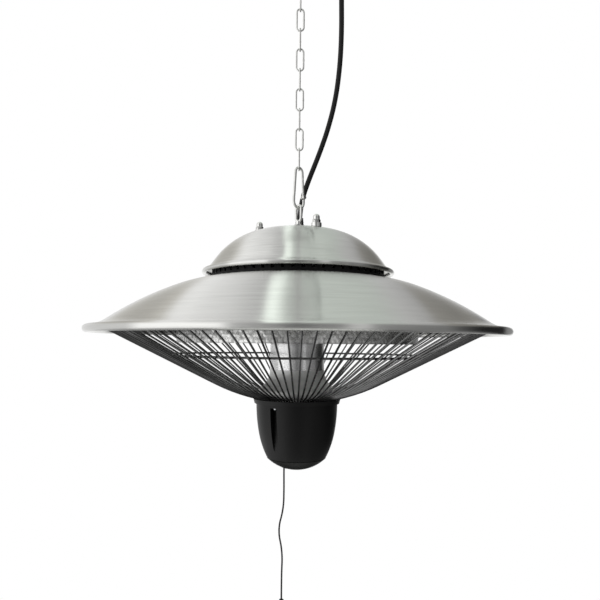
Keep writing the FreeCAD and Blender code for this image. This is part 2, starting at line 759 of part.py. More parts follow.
parts["grille_ring_outer"] = Part.makeTorus(outer_ring.x, ring_wire_r, Vector(0, 0, outer_ring.z))
parts["grille_ring_mid"] = welded_ring(mid_ring_r)
parts["grille_ring_inner"] = welded_ring(inner_ring_r)

# Grille clips: angles under the brim that carry the outer ring between two wires
foot_top = outer_ring.z - ring_wire_r - weld_gap
foot_low = foot_top - grille_clip_t
leg_out = outer_ring.x - ring_wire_r - 4.0
leg_in = leg_out - grille_clip_t
slope_tan = math.tan(math.radians(brim_slope))
sheet_drop = brim_sheet / 2.0 / math.cos(math.radians(brim_slope)) + 0.5
leg_top_out = flare_end.z + (flare_end.x - leg_out) * slope_tan - sheet_drop
leg_top_in = flare_end.z + (flare_end.x - leg_in) * slope_tan - sheet_drop
clip_face = poly_face([(leg_in, foot_low), (outer_ring.x + ring_wire_r, foot_low),
                       (outer_ring.x + ring_wire_r, foot_top), (leg_out, foot_top),
                       (leg_out, leg_top_out), (leg_in, leg_top_in)])
grille_clips = []
wire_step = 360.0 / wire_count
for i in range(grille_clip_count):
    n = round((45.0 + i * 360.0 / grille_clip_count) / wire_step)
    mid_deg = 270.0 + wire_first_deg + (n + 0.5) * wire_step
    grille_clips.append(ring_piece(clip_face, mid_deg - grille_clip_deg / 2.0, grille_clip_deg))
parts["grille_clips"] = Part.makeCompound(grille_clips)

# Centre column: tube under the bowl crown, standing on a flared foot with a sleeve inside the tube
collar_top = wire_end.z - wire_r - weld_gap
col_mid = column_r - column_sheet / 2.0
col_in = column_r - column_sheet
foot_step = (column_foot_r - column_sheet / 2.0 - col_mid) / (1.0 - math.cos(math.radians(column_flare)))
turn_back = foot_step - column_flare_r
flare_drop = foot_step * math.sin(math.radians(column_flare))
tube_end = collar_top + foot_len + flare_drop
parts["column"] = rod(column_r, tube_end, bowl_low).cut(rod(col_in, tube_end - 1, bowl_low + 1))
foot_path = walk(rz(col_mid, tube_end), 270.0,
                 [("A", column_flare_r, column_flare), ("A", turn_back, -column_flare), ("L", foot_len)])
sleeve_in = col_in - hole_clear - column_sheet
sleeve_face = poly_face([(sleeve_in, tube_end - 3.0), (col_mid, tube_end - 3.0), (col_mid, tube_end),
                         (col_in - hole_clear, tube_end), (col_in - hole_clear, tube_end + foot_sleeve),
                         (sleeve_in, tube_end + foot_sleeve)])
parts["column_foot"] = fused([turned(strip(foot_path, column_sheet)), turned(sleeve_face)])

# Centre pipe and nuts
pipe_r = pipe_d / 2.0
pipe_top = bowl_top + pipe_nut_h + 3.0
collar_low = collar_top - collar_plate
pipe_low = collar_low - pipe_nut_h - 3.0
pipe = rod(pipe_r, pipe_low, pipe_top).cut(rod(pipe_r - pipe_wall, pipe_low - 1, pipe_top + 1))
pipe_bore = rod(pipe_r + hole_clear / 2.0, pipe_low - 1, pipe_top + 1)
nut_a = hexagon(pipe_nut_af, bowl_top, bowl_top + pipe_nut_h).cut(pipe_bore)
nut_b = hexagon(pipe_nut_af, collar_low - pipe_nut_h, collar_low).cut(pipe_bore)
parts["centre_pipe"] = pipe
parts["pipe_nuts"] = Part.makeCompound([nut_a, nut_b])

# Collar
skirt_low = collar_top - collar_h
spigot_r = housing_r - housing_wall - fit_clear
collar = turned(poly_face([(pipe_r + hole_clear, collar_top), (collar_r, collar_top),
                           (collar_r - collar_draft, skirt_low), (spigot_r, skirt_low),
                           (spigot_r, skirt_low - spigot_h), (spigot_r - spigot_wall, skirt_low - spigot_h),
                           (spigot_r - spigot_wall, collar_low), (pipe_r + hole_clear, collar_low)]))

# Control housing with screw channels
house_mid = housing_r - housing_wall / 2.0
house_path = walk(rz(house_mid, skirt_low), 270.0,
                  [("A", housing_upper_arc, -housing_upper_turn),
                   ("A", housing_lower_arc, -housing_lower_turn)])
house_end = house_path[-1][5]
housing = turned(strip(house_path, housing_wall))
outer_skin = side_edges(house_path, housing_wall / 2.0)
o_a = outer_skin[0].Vertexes[0].Point
o_b = outer_skin[-1].Vertexes[-1].Point
house_solid = turned(Part.Face(Part.Wire(Part.__sortEdges__(
    outer_skin + [Part.makeLine(o_b, rz(0, o_b.z)), Part.makeLine(rz(0, o_b.z), rz(0, o_a.z)),
                  Part.makeLine(rz(0, o_a.z), o_a)]))))
channel_z1 = skirt_low - channel_top
channel_z0 = channel_z1 - channel_len
channel_floor = housing_r - channel_depth
seat_z = skirt_low - spigot_h
screw_at = channel_floor + channel_depth / 2.0 - 0.6
screw_r = screw_d / 2.0
screws = []
for deg in channel_angles:
    w = channel_w / 2.0
    wall = box(channel_floor - housing_wall, housing_r + 1, -w - housing_wall, w + housing_wall,
               channel_z0 - housing_wall, seat_z)
    housing = housing.fuse(at_angle(wall, deg).common(house_solid))
    cutter = box(channel_floor, housing_r + 5, -w, w, channel_z0 + w, channel_z1)
    end = Part.makeCylinder(w, channel_depth + 5.0, Vector(channel_floor, 0, channel_z0 + w),
                            Vector(1, 0, 0))
    housing = housing.cut(at_angle(cutter.fuse(end), deg))
    x, y = polar(screw_at, deg)
    boss = rod(boss_r, seat_z, collar_low, x, y).common(rod(spigot_r, seat_z, collar_low))
    collar = collar.fuse(boss)
    hole = rod(screw_r + hole_clear / 2.0, channel_z1 - 1, seat_z + screw_bite + 1, x, y)
    housing = housing.cut(hole)
    collar = collar.cut(hole)
    head = rod(screw_head_r, channel_z1 - screw_head_h, channel_z1, x, y)
    shank = rod(screw_r, channel_z1 - 0.5, seat_z + screw_bite, x, y)
    drive = hexagon(screw_d * 0.7, channel_z1 - screw_head_h, channel_z1 - screw_head_h / 2.0, x, y)
    screws.append(fused([head, shank]).cut(drive))
parts["collar"] = collar.removeSplitter()
parts["control_housing"] = housing.removeSplitter()
parts["housing_screws"] = Part.makeCompound(screws)

# Bottom cover with its lip inside the housing
cover_z = house_end.z - cover_seam
cover_arc = house_end.x / math.sin(math.radians(cover_start))
cover_path = walk(rz(house_end.x, cover_z), 180.0 + cover_start, [("A", cover_arc, -cover_start)])
cover_skin = side_edges(cover_path, housing_wall / 2.0)
k_a = cover_skin[0].Vertexes[0].Point
k_b = cover_skin[-1].Vertexes[-1].Point
cover_body = turned(Part.Face(Part.Wire(Part.__sortEdges__(
    cover_skin + [Part.makeLine(k_b, rz(0, k_a.z)), Part.makeLine(rz(0, k_a.z), k_a)]))))
cover_low = k_b.z
lip_r = house_end.x - housing_wall / 2.0 - fit_clear - 0.4
lip_low = cover_z - 2.5
lip_ring = rod(lip_r, lip_low, house_end.z + cover_lip)
lip_ring = lip_ring.cut(rod(lip_r - 2.0, lip_low - 1, house_end.z + cover_lip + 1))
bottom_cover = fused([turned(strip(cover_path, housing_wall)), lip_ring])
bush_top_z = cover_low + housing_wall + 6.0
cord_r = cord_d / 2.0
bush_body = cover_body.translated(Vector(0, 0, -bush_flange_t))
eyelet = rod(bush_flange_r, cover_low - 2.0, bush_top_z, cord_x, 0.0).common(bush_body).cut(cover_body)
neck_piece = rod(bush_r, cover_low - 2.0, bush_top_z, cord_x, 0.0).common(bush_body)
cord_bush = fused([eyelet, neck_piece])
cord_bush = cord_bush.cut(rod(cord_r + 2.0 * run_clear, cover_low - 5, bush_top_z + 1, cord_x, 0.0))
bush_seat = rod(bush_r + hole_clear, cover_low - 5, bush_top_z + 5, cord_x, 0.0)
parts["bottom_cover"] = bottom_cover.cut(bush_seat)
parts["cord_bush"] = cord_bush

# Pull switch: open case with a lid, plunger, spring and ratchet wheel
switch_top = collar_low - switch_drop
switch_low = switch_top - switch_h
sx0 = cord_x - switch_l * 0.3
sx1 = sx0 + switch_l
sy = switch_w / 2.0
lid_y = lid_t - sy
floor_z = switch_low + switch_wall
rod_r = plunger_rod_d / 2.0
room = plunger_disc_r + 2.0
disc_low = floor_z + spring_len
disc_top = disc_low + plunger_disc_h
pawl_tip = cord_x + plunger_disc_r + pawl_len
wheel_x = pawl_tip + 2.0 * run_clear + wheel_r
wheel_z = disc_top + 2.0
case = box(sx0, sx1, lid_y, sy, switch_low, switch_top)
case = case.cut(box(cord_x - room, cord_x + room, lid_y - 1, room, floor_z, switch_top - switch_wall))
wheel_room = wheel_t / 2.0 + 2.0 * run_clear
case = case.cut(box(cord_x, pawl_tip + 2.0 * run_clear, lid_y - 1, pawl_w / 2.0 + 1.0, floor_z, wheel_z))
case = case.cut(Part.makeCylinder(wheel_r + 1.0, wheel_room - lid_y + 1.0,
                                  Vector(wheel_x, lid_y - 1, wheel_z), Vector(0, 1, 0)))
case = case.cut(rod(rod_r + run_clear, switch_low - 1, floor_z + 1, cord_x, 0.0))
posts = []
post_places = ((sx0 + 5.0, sy - 4.0), (sx0 + 5.0, 5.0 - sy + lid_t), (sx1 - 3.0, sy - 3.0),
               (sx1 - 3.0, 4.0 - sy + lid_t))
for px, py in post_places:
    posts.append(rod(post_r, switch_top, collar_low, px, py))
case = fused([case] + posts)
pin_r = wheel_pin_d / 2.0
pin_bore = Part.makeCylinder(pin_r + hole_clear / 2.0, switch_w + 2, Vector(wheel_x, -sy - 1, wheel_z),
                             Vector(0, 1, 0))
parts["switch_case"] = case.cut(pin_bore)
lid = box(sx0, sx1, -sy, lid_y, switch_low, switch_top)
parts["switch_lid"] = lid.cut(pin_bore)
parts["wheel_pin"] = Part.makeCylinder(pin_r, switch_w, Vector(wheel_x, -sy, wheel_z), Vector(0, 1, 0))
wheel = Part.makeCylinder(wheel_r, wheel_t, Vector(wheel_x, -wheel_t / 2.0, wheel_z), Vector(0, 1, 0))
wheel = wheel.cut(Part.makeCylinder(pin_r + run_clear, wheel_t + 2,
                                    Vector(wheel_x, -wheel_t / 2.0 - 1, wheel_z), Vector(0, 1, 0)))
for i in range(wheel_teeth):
    a = 360.0 / wheel_teeth * i
    notch = Part.makeCylinder(wheel_r * 0.2, wheel_t + 2,
                              Vector(wheel_x + wheel_r, -wheel_t / 2.0 - 1, wheel_z), Vector(0, 1, 0))
    notch.rotate(Vector(wheel_x, 0, wheel_z), Vector(0, 1, 0), a + 180.0 / wheel_teeth)
    wheel = wheel.cut(notch)
parts["ratchet_wheel"] = wheel
plunger_low = switch_low - plunger_tail
pawl = box(cord_x, pawl_tip, -pawl_w / 2.0, pawl_w / 2.0, disc_low, disc_top)
parts["plunger"] = fused([rod(rod_r, plunger_low, disc_top + 2.0, cord_x, 0.0),
                          rod(plunger_disc_r, disc_low, disc_top, cord_x, 0.0), pawl])
spring = rod(rod_r + run_clear + spring_wall, floor_z, disc_low, cord_x, 0.0)
parts["return_spring"] = spring.cut(rod(rod_r + run_clear, floor_z - 1, disc_low + 1, cord_x, 0.0))

# Switch cable from the terminal block down the pipe
cable_y = block_y - block_w / 2.0
cable_z = crown_top + block_h / 2.0
corner = cable_bend * (1.0 - math.sqrt(0.5))
cable_edges = [Part.makeLine(Vector(0, cable_y, cable_z), Vector(0, cable_bend, cable_z)),
               Part.Arc(Vector(0, cable_bend, cable_z), Vector(0, corner, cable_z - corner),
                        Vector(0, 0, cable_z - cable_bend)).toShape(),
               Part.makeLine(Vector(0, 0, cable_z - cable_bend), Vector(0, 0, switch_top))]
parts["switch_cable"] = tube(cable_edges, cable_d / 2.0)

# Pull cord and knob
cord_route = list(cord_points)
cord_route[0] = (cord_x, 0.0, plunger_low)
cord_edges, cord_radii = rounded(cord_route)
pull_cord = tube(cord_edges, cord_r)
parts["pull_cord"] = pull_cord
kx, ky, kz = cord_points[-1]
knob_top = kz + 5.0
k_small = knob_r * 0.45
knob_outline = poly_face([(0, knob_top), (k_small, knob_top), (knob_r * 0.7, knob_top - knob_len * 0.45),
                          (knob_r, knob_top - knob_len * 0.85), (knob_r * 0.75, knob_top - knob_len),
                          (0, knob_top - knob_len)])
knob = turned(knob_outline)
ring_edges = [e for e in knob.Edges if e.Curve.TypeId == "Part::GeomCircle"]
knob = knob.makeFillet(knob_r * 0.16, ring_edges)
knob.translate(Vector(kx, ky, 0))
knob = knob.cut(rod(cord_r + hole_clear / 2.0, kz, knob_top + 1, kx, ky))
parts["pull_knob"] = knob

# Origin at the middle of the ceiling plate's upper face
os.makedirs("parts", exist_ok=True)
drop = Vector(0, 0, -plate_top)
for name in parts:
    shape = parts[name].copy()
    shape.translate(drop)
    shape.exportStep("parts/" + name + ".step")

lead_length = Part.Wire(lead_edges).Length
cord_length = Part.Wire(cord_edges).Length
print("rim plane z", -plate_top, "swing pivot z", pivot_z - plate_top)
print("gate axis", gate_axis_x, gate_axis_y, gate_a.z - plate_top)
print("wheel axis", wheel_x, wheel_z - plate_top, "spring floor", floor_z - plate_top)
print("cap apex", cap_top, "crown", crown_z, "bowl top", bowl_top)
print("collar top", collar_top, "cover low", cover_low)
print("lead radii", [round(r) for r in lead_radii], "length", lead_length)
print("lead volume ratio", power_lead.Volume / (math.pi * lead_r ** 2 * lead_length))
print("cord radii", [round(r) for r in cord_radii], "length", cord_length)
print("cord volume ratio", pull_cord.Volume / (math.pi * cord_r ** 2 * cord_length))
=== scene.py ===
"""Hanging patio heater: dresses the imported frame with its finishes, cords, light and camera."""
import logging
import math
import random
from dataclasses import dataclass, field
from enum import Enum
from functools import cache
from itertools import product
from typing import Any, Callable, Iterator, Sequence, Union

import bmesh
import bpy
from bpy.types import Material, Mesh, Node, NodeSocket, NodeTree, Object
from mathutils import Matrix, Vector

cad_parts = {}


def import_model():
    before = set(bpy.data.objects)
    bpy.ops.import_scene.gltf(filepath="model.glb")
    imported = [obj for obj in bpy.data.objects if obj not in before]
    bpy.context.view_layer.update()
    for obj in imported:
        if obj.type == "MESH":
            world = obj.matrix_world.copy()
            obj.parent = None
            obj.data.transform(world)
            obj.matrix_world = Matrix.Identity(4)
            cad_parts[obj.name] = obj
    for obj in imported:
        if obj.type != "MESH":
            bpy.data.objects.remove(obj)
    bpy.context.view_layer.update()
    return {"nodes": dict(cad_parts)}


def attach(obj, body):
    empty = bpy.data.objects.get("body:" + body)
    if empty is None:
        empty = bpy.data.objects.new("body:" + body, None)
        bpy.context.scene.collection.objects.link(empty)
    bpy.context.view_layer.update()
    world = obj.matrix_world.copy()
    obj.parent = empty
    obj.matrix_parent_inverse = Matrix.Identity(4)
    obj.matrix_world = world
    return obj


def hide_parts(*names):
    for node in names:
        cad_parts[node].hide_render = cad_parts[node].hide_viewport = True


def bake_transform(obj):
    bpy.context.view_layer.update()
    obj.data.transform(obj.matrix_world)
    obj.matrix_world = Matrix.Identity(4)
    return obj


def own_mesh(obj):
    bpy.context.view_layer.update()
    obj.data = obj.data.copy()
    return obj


LOG = logging.getLogger("patio_heater")
MM = 0.001
RIM_Z = -566.0856
CAP_TOP = 151.286
TURNING = "turning"
PRESS = "press"
THICK = "thick"
Pair = tuple[float, float]
Point = tuple[float, float]
Point3 = tuple[float, float, float]
Colour = tuple[float, float, float, float]
Sockets = bpy.types.bpy_prop_collection
Feed = Union[Node, NodeSocket, float, str, Sequence[float]]


class Body(Enum):
    """Bodies of the frame that new pieces move with."""

    CEILING = "ceiling"
    HEATER = "heater"
    PULL = "pull"


class Slot(Enum):
    """Material slots of the record."""

    SPUN = "spun_aluminium"
    HAMMERED = "hammered_aluminium"
    POLISHED = "polished_aluminium"
    BRIGHT = "bright_steel"
    GRILLE = "grille_steel"
    ZINC = "zinc_steel"
    BLACK = "black_plastic"
    CERAMIC = "white_ceramic"
    SWITCH = "switch_plastic"
    RUBBER = "black_rubber"
    QUARTZ = "clear_quartz"
    FILAMENT = "element_wire"
    BRAID = "braided_cord"
    PLATE = "plate_paint"
    VENT = "vent_paint"


class Tone(Enum):
    """Tints of the studio's light."""

    PLAIN = (1.0, 1.0, 1.0)
    COOL = (0.96, 1.03, 0.97)
    WARM = (1.03, 1.0, 0.93)


Light = tuple[Point | tuple[float, float, Tone], ...]


def grey(level: float) -> Colour:
    """Return a grey with full alpha."""
    return level, level, level, 1.0


class Graph:
    """Short words for building one node tree."""

    def __init__(self, tree: NodeTree) -> None:
        """Take the tree to build in."""
        self.tree = tree

    @classmethod
    def group(cls, kind: str, name: str, inputs: dict[str, float | str],
              outputs: Sequence[str]) -> tuple["Graph", Sockets]:
        """Start a node group.

        Args:
            kind: Shader or Geometry.
            name: The group's name.
            inputs: The default of each input, or the word for its type.
            outputs: Its outputs, numbers except for one called Geometry.

        Returns:
            Its graph, and the outputs of its input node.
        """
        tree = bpy.data.node_groups.new(name, kind + "NodeTree")
        for label, default in inputs.items():
            worded = isinstance(default, str)
            word = default if worded else "Int" if isinstance(default, int) else "Float"
            socket = tree.interface.new_socket(label, in_out="INPUT", socket_type="NodeSocket" + word)
            if not worded:
                socket.default_value = default
        for label in outputs:
            word = label if label == "Geometry" else "Float"
            tree.interface.new_socket(label, in_out="OUTPUT", socket_type="NodeSocket" + word)
        graph = cls(tree)
        return graph, graph.add("NodeGroupInput").outputs

    def end(self, outputs: dict[str, Feed]) -> NodeTree:
        """Give a group its outputs and return its tree."""
        self.add("NodeGroupOutput", outputs)
        return self.tree

    def wire(self, node: Node, inputs: dict[str | int, Feed]) -> Node:
        """Feed a node.

        Args:
            node: The node.
            inputs: A value, an output or a node for each socket, by name or place.

        Returns:
            The node.
        """
        for key, value in inputs.items():
            if isinstance(value, Node):
                value = value.outputs[0]
            if isinstance(value, NodeSocket):
                self.tree.links.new(value, node.inputs[key])
            else:
                node.inputs[key].default_value = value
        return node

    def add(self, kind: str, inputs: dict[str | int, Feed] | None = None, **props: Any) -> Node:
        """Add a node of a kind, set its properties and then feed its sockets."""
        node = self.tree.nodes.new(kind)
        for key, value in props.items():
            setattr(node, key, value)
        return self.wire(node, inputs or {})

    def math(self, operation: str, *values: Feed) -> Node:
        """Add a Math node."""
        return self.add("ShaderNodeMath", dict(enumerate(values)), operation=operation)

    def span(self, value: Feed, low: Feed, high: float, first: float = 0.0, last: float = 1.0) -> Node:
        """Add a Map Range node that goes from first to last between low and high."""
        return self.add("ShaderNodeMapRange", dict(enumerate((value, low, high, first, last))))

    def split(self, vector: Feed) -> Sockets:
        """Return the x, y and z of a vector."""
        return self.add("ShaderNodeSeparateXYZ", {0: vector}).outputs

    def spot(self, x: Feed, y: Feed, z: Feed) -> Node:
        """Add a vector of x, y and z."""
        return self.add("ShaderNodeCombineXYZ", {0: x, 1: y, 2: z})

    def noise(self, place: Feed, scale: Feed, detail: float, **more: float) -> Node:
        """Add a noise texture."""
        return self.add("ShaderNodeTexNoise", {"Vector": place, "Scale": scale, "Detail": detail, **more})

    def bump(self, height: Feed, distance: float, strength: float) -> Node:
        """Add a Bump node."""
        return self.add("ShaderNodeBump", {"Height": height, "Distance": distance, "Strength": strength})

    def mix_colour(self, factor: Feed, a: Feed, b: Feed, **props: str) -> NodeSocket:
        """Add a colour Mix node and return its output."""
        return self.add("ShaderNodeMix", {0: factor, 6: a, 7: b}, data_type="RGBA", **props).outputs[2]

    def mix_value(self, factor: Feed, a: Feed, b: Feed) -> Node:
        """Add a float Mix node."""
        return self.add("ShaderNodeMix", {0: factor, 2: a, 3: b}, data_type="FLOAT")

    def effect(self, tree: NodeTree, **inputs: Feed) -> Sockets:
        """Place a shared effect and return its outputs."""
        return self.add("ShaderNodeGroup", inputs, node_tree=tree).outputs

    def place(self) -> NodeSocket:
        """Return the piece's own coordinates."""
        return self.add("ShaderNodeTexCoord").outputs["Object"]

    def turning(self) -> Node:
        """Add the map that a turned piece or a cord carries."""
        return self.add("ShaderNodeUVMap", uv_map=TURNING)

    def ramp(self, factor: Feed, stops: Sequence[tuple[float, Sequence[float]]]) -> NodeSocket:
        """Add a colour ramp.

        Args:
            factor: Where the ramp is read.
            stops: Places from 0 to 1 with a colour each.

        Returns:
            The ramp's colour output.
        """
        node = self.add("ShaderNodeValToRGB", {0: factor})
        band = node.color_ramp.elements
        while len(band) > 1:
            band.remove(band[-1])
        for index, (place, colour) in enumerate(stops):
            stop = band.new(place) if index else band[0]
            stop.position = place
            stop.color = (*colour, 1.0)
        return node.outputs[0]


class Effects:
    """Shader groups that several finishes share."""

    @staticmethod
    @cache
    def turned_lines() -> NodeTree:
        """Fine lines that run round a turned piece, with slower bands among them."""
        graph, given = Graph.group("Shader", "turned_lines", {"UV": "Vector", "Fineness": 900.0, "Wander": 1.5},
                                   ("Line", "Band"))
        along, turn, _ = graph.split(given["UV"])
        angle = graph.math("MULTIPLY", turn, math.tau)
        cos, sin = (graph.math("MULTIPLY", graph.math(wave, angle), given["Wander"]) for wave in ("COSINE", "SINE"))
        across = graph.math("MULTIPLY", along, given["Fineness"])
        made = {}
        for label, share, detail in (("Line", 1.0, 3.0), ("Band", 0.14, 2.0)):
            spot = graph.spot(cos, sin, graph.math("MULTIPLY", across, share))
            made[label] = graph.noise(spot, 1.0, detail, Roughness=0.6)
        return graph.end(made)

    @staticmethod
    @cache
    def grain() -> NodeTree:
        """Moulded or coated grain: a fine height and a slower change of tone."""
        graph, given = Graph.group("Shader", "grain", {"Vector": "Vector", "Scale": 900.0}, ("Height", "Tone"))
        slow = graph.math("MULTIPLY", given["Scale"], 0.035)
        return graph.end({"Height": graph.noise(given["Vector"], given["Scale"], 3.0, Roughness=0.65),
                          "Tone": graph.noise(given["Vector"], slow, 3.0)})

    @staticmethod
    @cache
    def marks() -> NodeTree:
        """Handling marks: cloudy patches and a few hair scratches."""
        graph, given = Graph.group("Shader", "marks", {"Vector": "Vector", "Scale": 18.0}, ("Cloud", "Scratch"))
        cloud = graph.noise(given["Vector"], given["Scale"], 5.0, Roughness=0.6, Distortion=0.6)
        stretch = graph.add("ShaderNodeMapping", {"Vector": given["Vector"], "Scale": (9.0, 1.0, 4.0),
                                                  "Rotation": (0.4, 0.9, 0.3)})
        hair = graph.noise(stretch, 55.0, 2.0)
        return graph.end({"Cloud": graph.span(cloud, 0.35, 0.7), "Scratch": graph.span(hair, 0.66, 0.7)})

    @staticmethod
    @cache
    def braid() -> NodeTree:
        """Crossing strands round a cord, read from its length and turn, with a painted shade that is darkest in the
        grooves between them.
        """
        graph, given = Graph.group("Shader", "braid", {"UV": "Vector", "Pitch": 0.004, "Strands": 8.0},
                                   ("Height", "Shade"))
        length, turn, _ = graph.split(given["UV"])
        along = graph.math("DIVIDE", length, given["Pitch"])
        around = graph.math("MULTIPLY", turn, given["Strands"])
        waves = []
        for twist in (2.0, -2.0):
            strand = graph.math("ADD", around, graph.math("MULTIPLY", along, twist))
            waves.append(graph.math("SINE", graph.math("MULTIPLY", strand, math.tau)))
        height = graph.math("MAXIMUM", *waves)
        # painted shade: follows the strands' height, darkest in the grooves
        return graph.end({"Height": height, "Shade": graph.math("MULTIPLY_ADD", height, 0.5, 0.5)})


@dataclass(frozen=True)
class Finish:
    """A finish: the plain values of its shader, and how its surface varies."""

    name: str
    colour: Point3
    roughness: float
    metallic: float = 0.0

    def material(self) -> Material:
        """Build the material once and return it."""
        found = bpy.data.materials.get(self.name)
        if found:
            return found
        made = bpy.data.materials.new(self.name)
        made.use_nodes = True
        graph = Graph(made.node_tree)
        shader = made.node_tree.nodes["Principled BSDF"]
        graph.wire(shader, {"Base Color": self.shade(1.0), "Roughness": self.roughness, "Metallic": self.metallic})
        graph.wire(shader, self.looks(graph))
        made.diffuse_color = self.shade(1.0)
        return made

    def looks(self, graph: Graph) -> dict[str, Feed]:
        """Build what varies over the surface.

        Args:
            graph: The material's graph.

        Returns:
            What the shader's inputs are fed with; a plain finish adds nothing.
        """
        return {}

    def shade(self, share: float) -> Colour:
        """Return the colour times a share, with full alpha."""
        return (*(min(1.0, part * share) for part in self.colour), 1.0)

    @staticmethod
    def marks(graph: Graph, scale: float) -> Sockets:
        """Place handling marks and return their outputs."""
        return graph.effect(Effects.marks(), Vector=graph.place(), Scale=scale)


@dataclass(frozen=True)
class SpunSheet(Finish):
    """Sheet brushed on the lathe: lines round the axis and gloss stretched across them."""

    stretch: float = 1.0
    fineness: float = 620.0
    wander: float = 2.2
    bands: float = 0.35
    shades: Pair = (0.9, 1.07)
    depth: float = 0.00002
    change: float = 0.04
    scale: float = 7.0
    clouding: float = 0.03

    def looks(self, graph: Graph) -> dict[str, Feed]:
        """Lines in tone, roughness and height, clouded by handling."""
        lines = graph.effect(Effects.turned_lines(), UV=graph.turning(), Fineness=self.fineness, Wander=self.wander)
        both = graph.span(graph.mix_value(self.bands, lines["Line"], lines["Band"]), 0.3, 0.7)
        rough = graph.mix_value(lines["Line"], self.roughness - self.change, self.roughness + self.change)
        cloud = self.marks(graph, self.scale)["Cloud"]
        return {"Base Color": graph.mix_colour(both, *map(self.shade, self.shades)),
                "Roughness": graph.math("MULTIPLY_ADD", cloud, self.clouding, rough),
                "Normal": graph.bump(lines["Line"], self.depth, 0.5),
                "Anisotropic": self.stretch,
                "Tangent": graph.add("ShaderNodeTangent", direction_type="UV_MAP", uv_map=TURNING)}


@dataclass(frozen=True)
class BareMetal(Finish):
    """Plain, plated or polished metal with handling marks."""

    scale: float = 40.0
    change: float = 0.06
    tarnish: float = 0.86

    def looks(self, graph: Graph) -> dict[str, Feed]:
        """Cloudy tone and roughness, and hair scratches."""
        marks = self.marks(graph, self.scale)
        rough = graph.math("MULTIPLY_ADD", marks["Cloud"], self.change, self.roughness)
        return {"Base Color": graph.mix_colour(marks["Cloud"], self.shade(1.0), self.shade(self.tarnish)),
                "Roughness": graph.math("MULTIPLY_ADD", marks["Scratch"], self.change, rough)}


@dataclass(frozen=True)
class HammeredSheet(Finish):
    """Sheet with pressed dimples: hollows at the plain colour, ridges between them duller and darkened by painted
    shade.
    """

    # share of the colour left on the ridges: painted shade between the dimples
    painted_ridge_shade: float = 0.4
    presses: Pair = (0.05, 0.55)
    scale: float = 26.0
    tarnish: float = 0.8
    change: float = 0.06
    ridge_rough: float = 0.14

    def looks(self, graph: Graph) -> dict[str, Feed]:
        """Painted shade on the ridges, and roughness, that follow the dimples pressed into the piece."""
        press = graph.add("ShaderNodeAttribute", attribute_name=PRESS).outputs["Fac"]
        hollow = graph.span(press, *self.presses)
        marks = self.marks(graph, self.scale)
        # painted shade: the colour darkens from the hollows to the ridges between the dimples
        tone = graph.mix_colour(hollow, self.shade(self.painted_ridge_shade), self.shade(1.0))
        cloud = graph.math("MULTIPLY", marks["Cloud"], 0.5)
        rough = graph.mix_value(hollow, self.roughness + self.ridge_rough, self.roughness)
        return {"Base Color": graph.mix_colour(cloud, tone, self.shade(self.tarnish)),
                "Roughness": graph.math("MULTIPLY_ADD", marks["Scratch"], self.change, rough)}


@dataclass(frozen=True)
class Moulded(Finish):
    """Moulded, fired or coated surface with a fine grain."""

    scale: float = 1100.0
    depth: float = 0.00004
    change: float = 0.08
    lift: float = 1.3
    gleam: float = 0.5

    def looks(self, graph: Graph) -> dict[str, Feed]:
        """Grain in height, and slow changes of tone and gloss."""
        grain = graph.effect(Effects.grain(), Vector=graph.place(), Scale=self.scale)
        least = self.roughness - self.change / 2.0
        return {"Specular IOR Level": self.gleam,
                "Base Color": graph.mix_colour(grain["Tone"], self.shade(1.0), self.shade(self.lift)),
                "Roughness": graph.math("MULTIPLY_ADD", grain["Tone"], self.change, least),
                "Normal": graph.bump(grain["Height"], self.depth, 0.6)}


@dataclass(frozen=True)
class Braided(Finish):
    """Braided cord: strands crossing round it, with painted shade in the grooves between them."""

    pitch: float = 0.004
    strands: float = 8.0
    depth: float = 0.00012
    # colour shares for the painted shade, from the grooves to the crests
    shades: Pair = (0.55, 1.4)

    def looks(self, graph: Graph) -> dict[str, Feed]:
        """Strands in height, and painted shade in tone: darker in the grooves, lighter on the crests."""
        braid = graph.effect(Effects.braid(), UV=graph.turning(), Pitch=self.pitch, Strands=self.strands)
        # painted shade: colour runs from dark grooves to light crests
        return {"Base Color": graph.mix_colour(braid["Shade"], *map(self.shade, self.shades)),
                "Normal": graph.bump(braid["Height"], self.depth, 0.8)}


@dataclass(frozen=True)
class ClearTube(Finish):
    """Clear fused tube."""

    index: float = 1.46
    scale: float = 30.0
    change: float = 0.04

    def looks(self, graph: Graph) -> dict[str, Feed]:
        """Plain glass with a faint change of gloss."""
        cloud = self.marks(graph, self.scale)["Cloud"]
        return {"Transmission Weight": 1.0, "IOR": self.index,
                "Roughness": graph.math("MULTIPLY_ADD", cloud, self.change, self.roughness)}


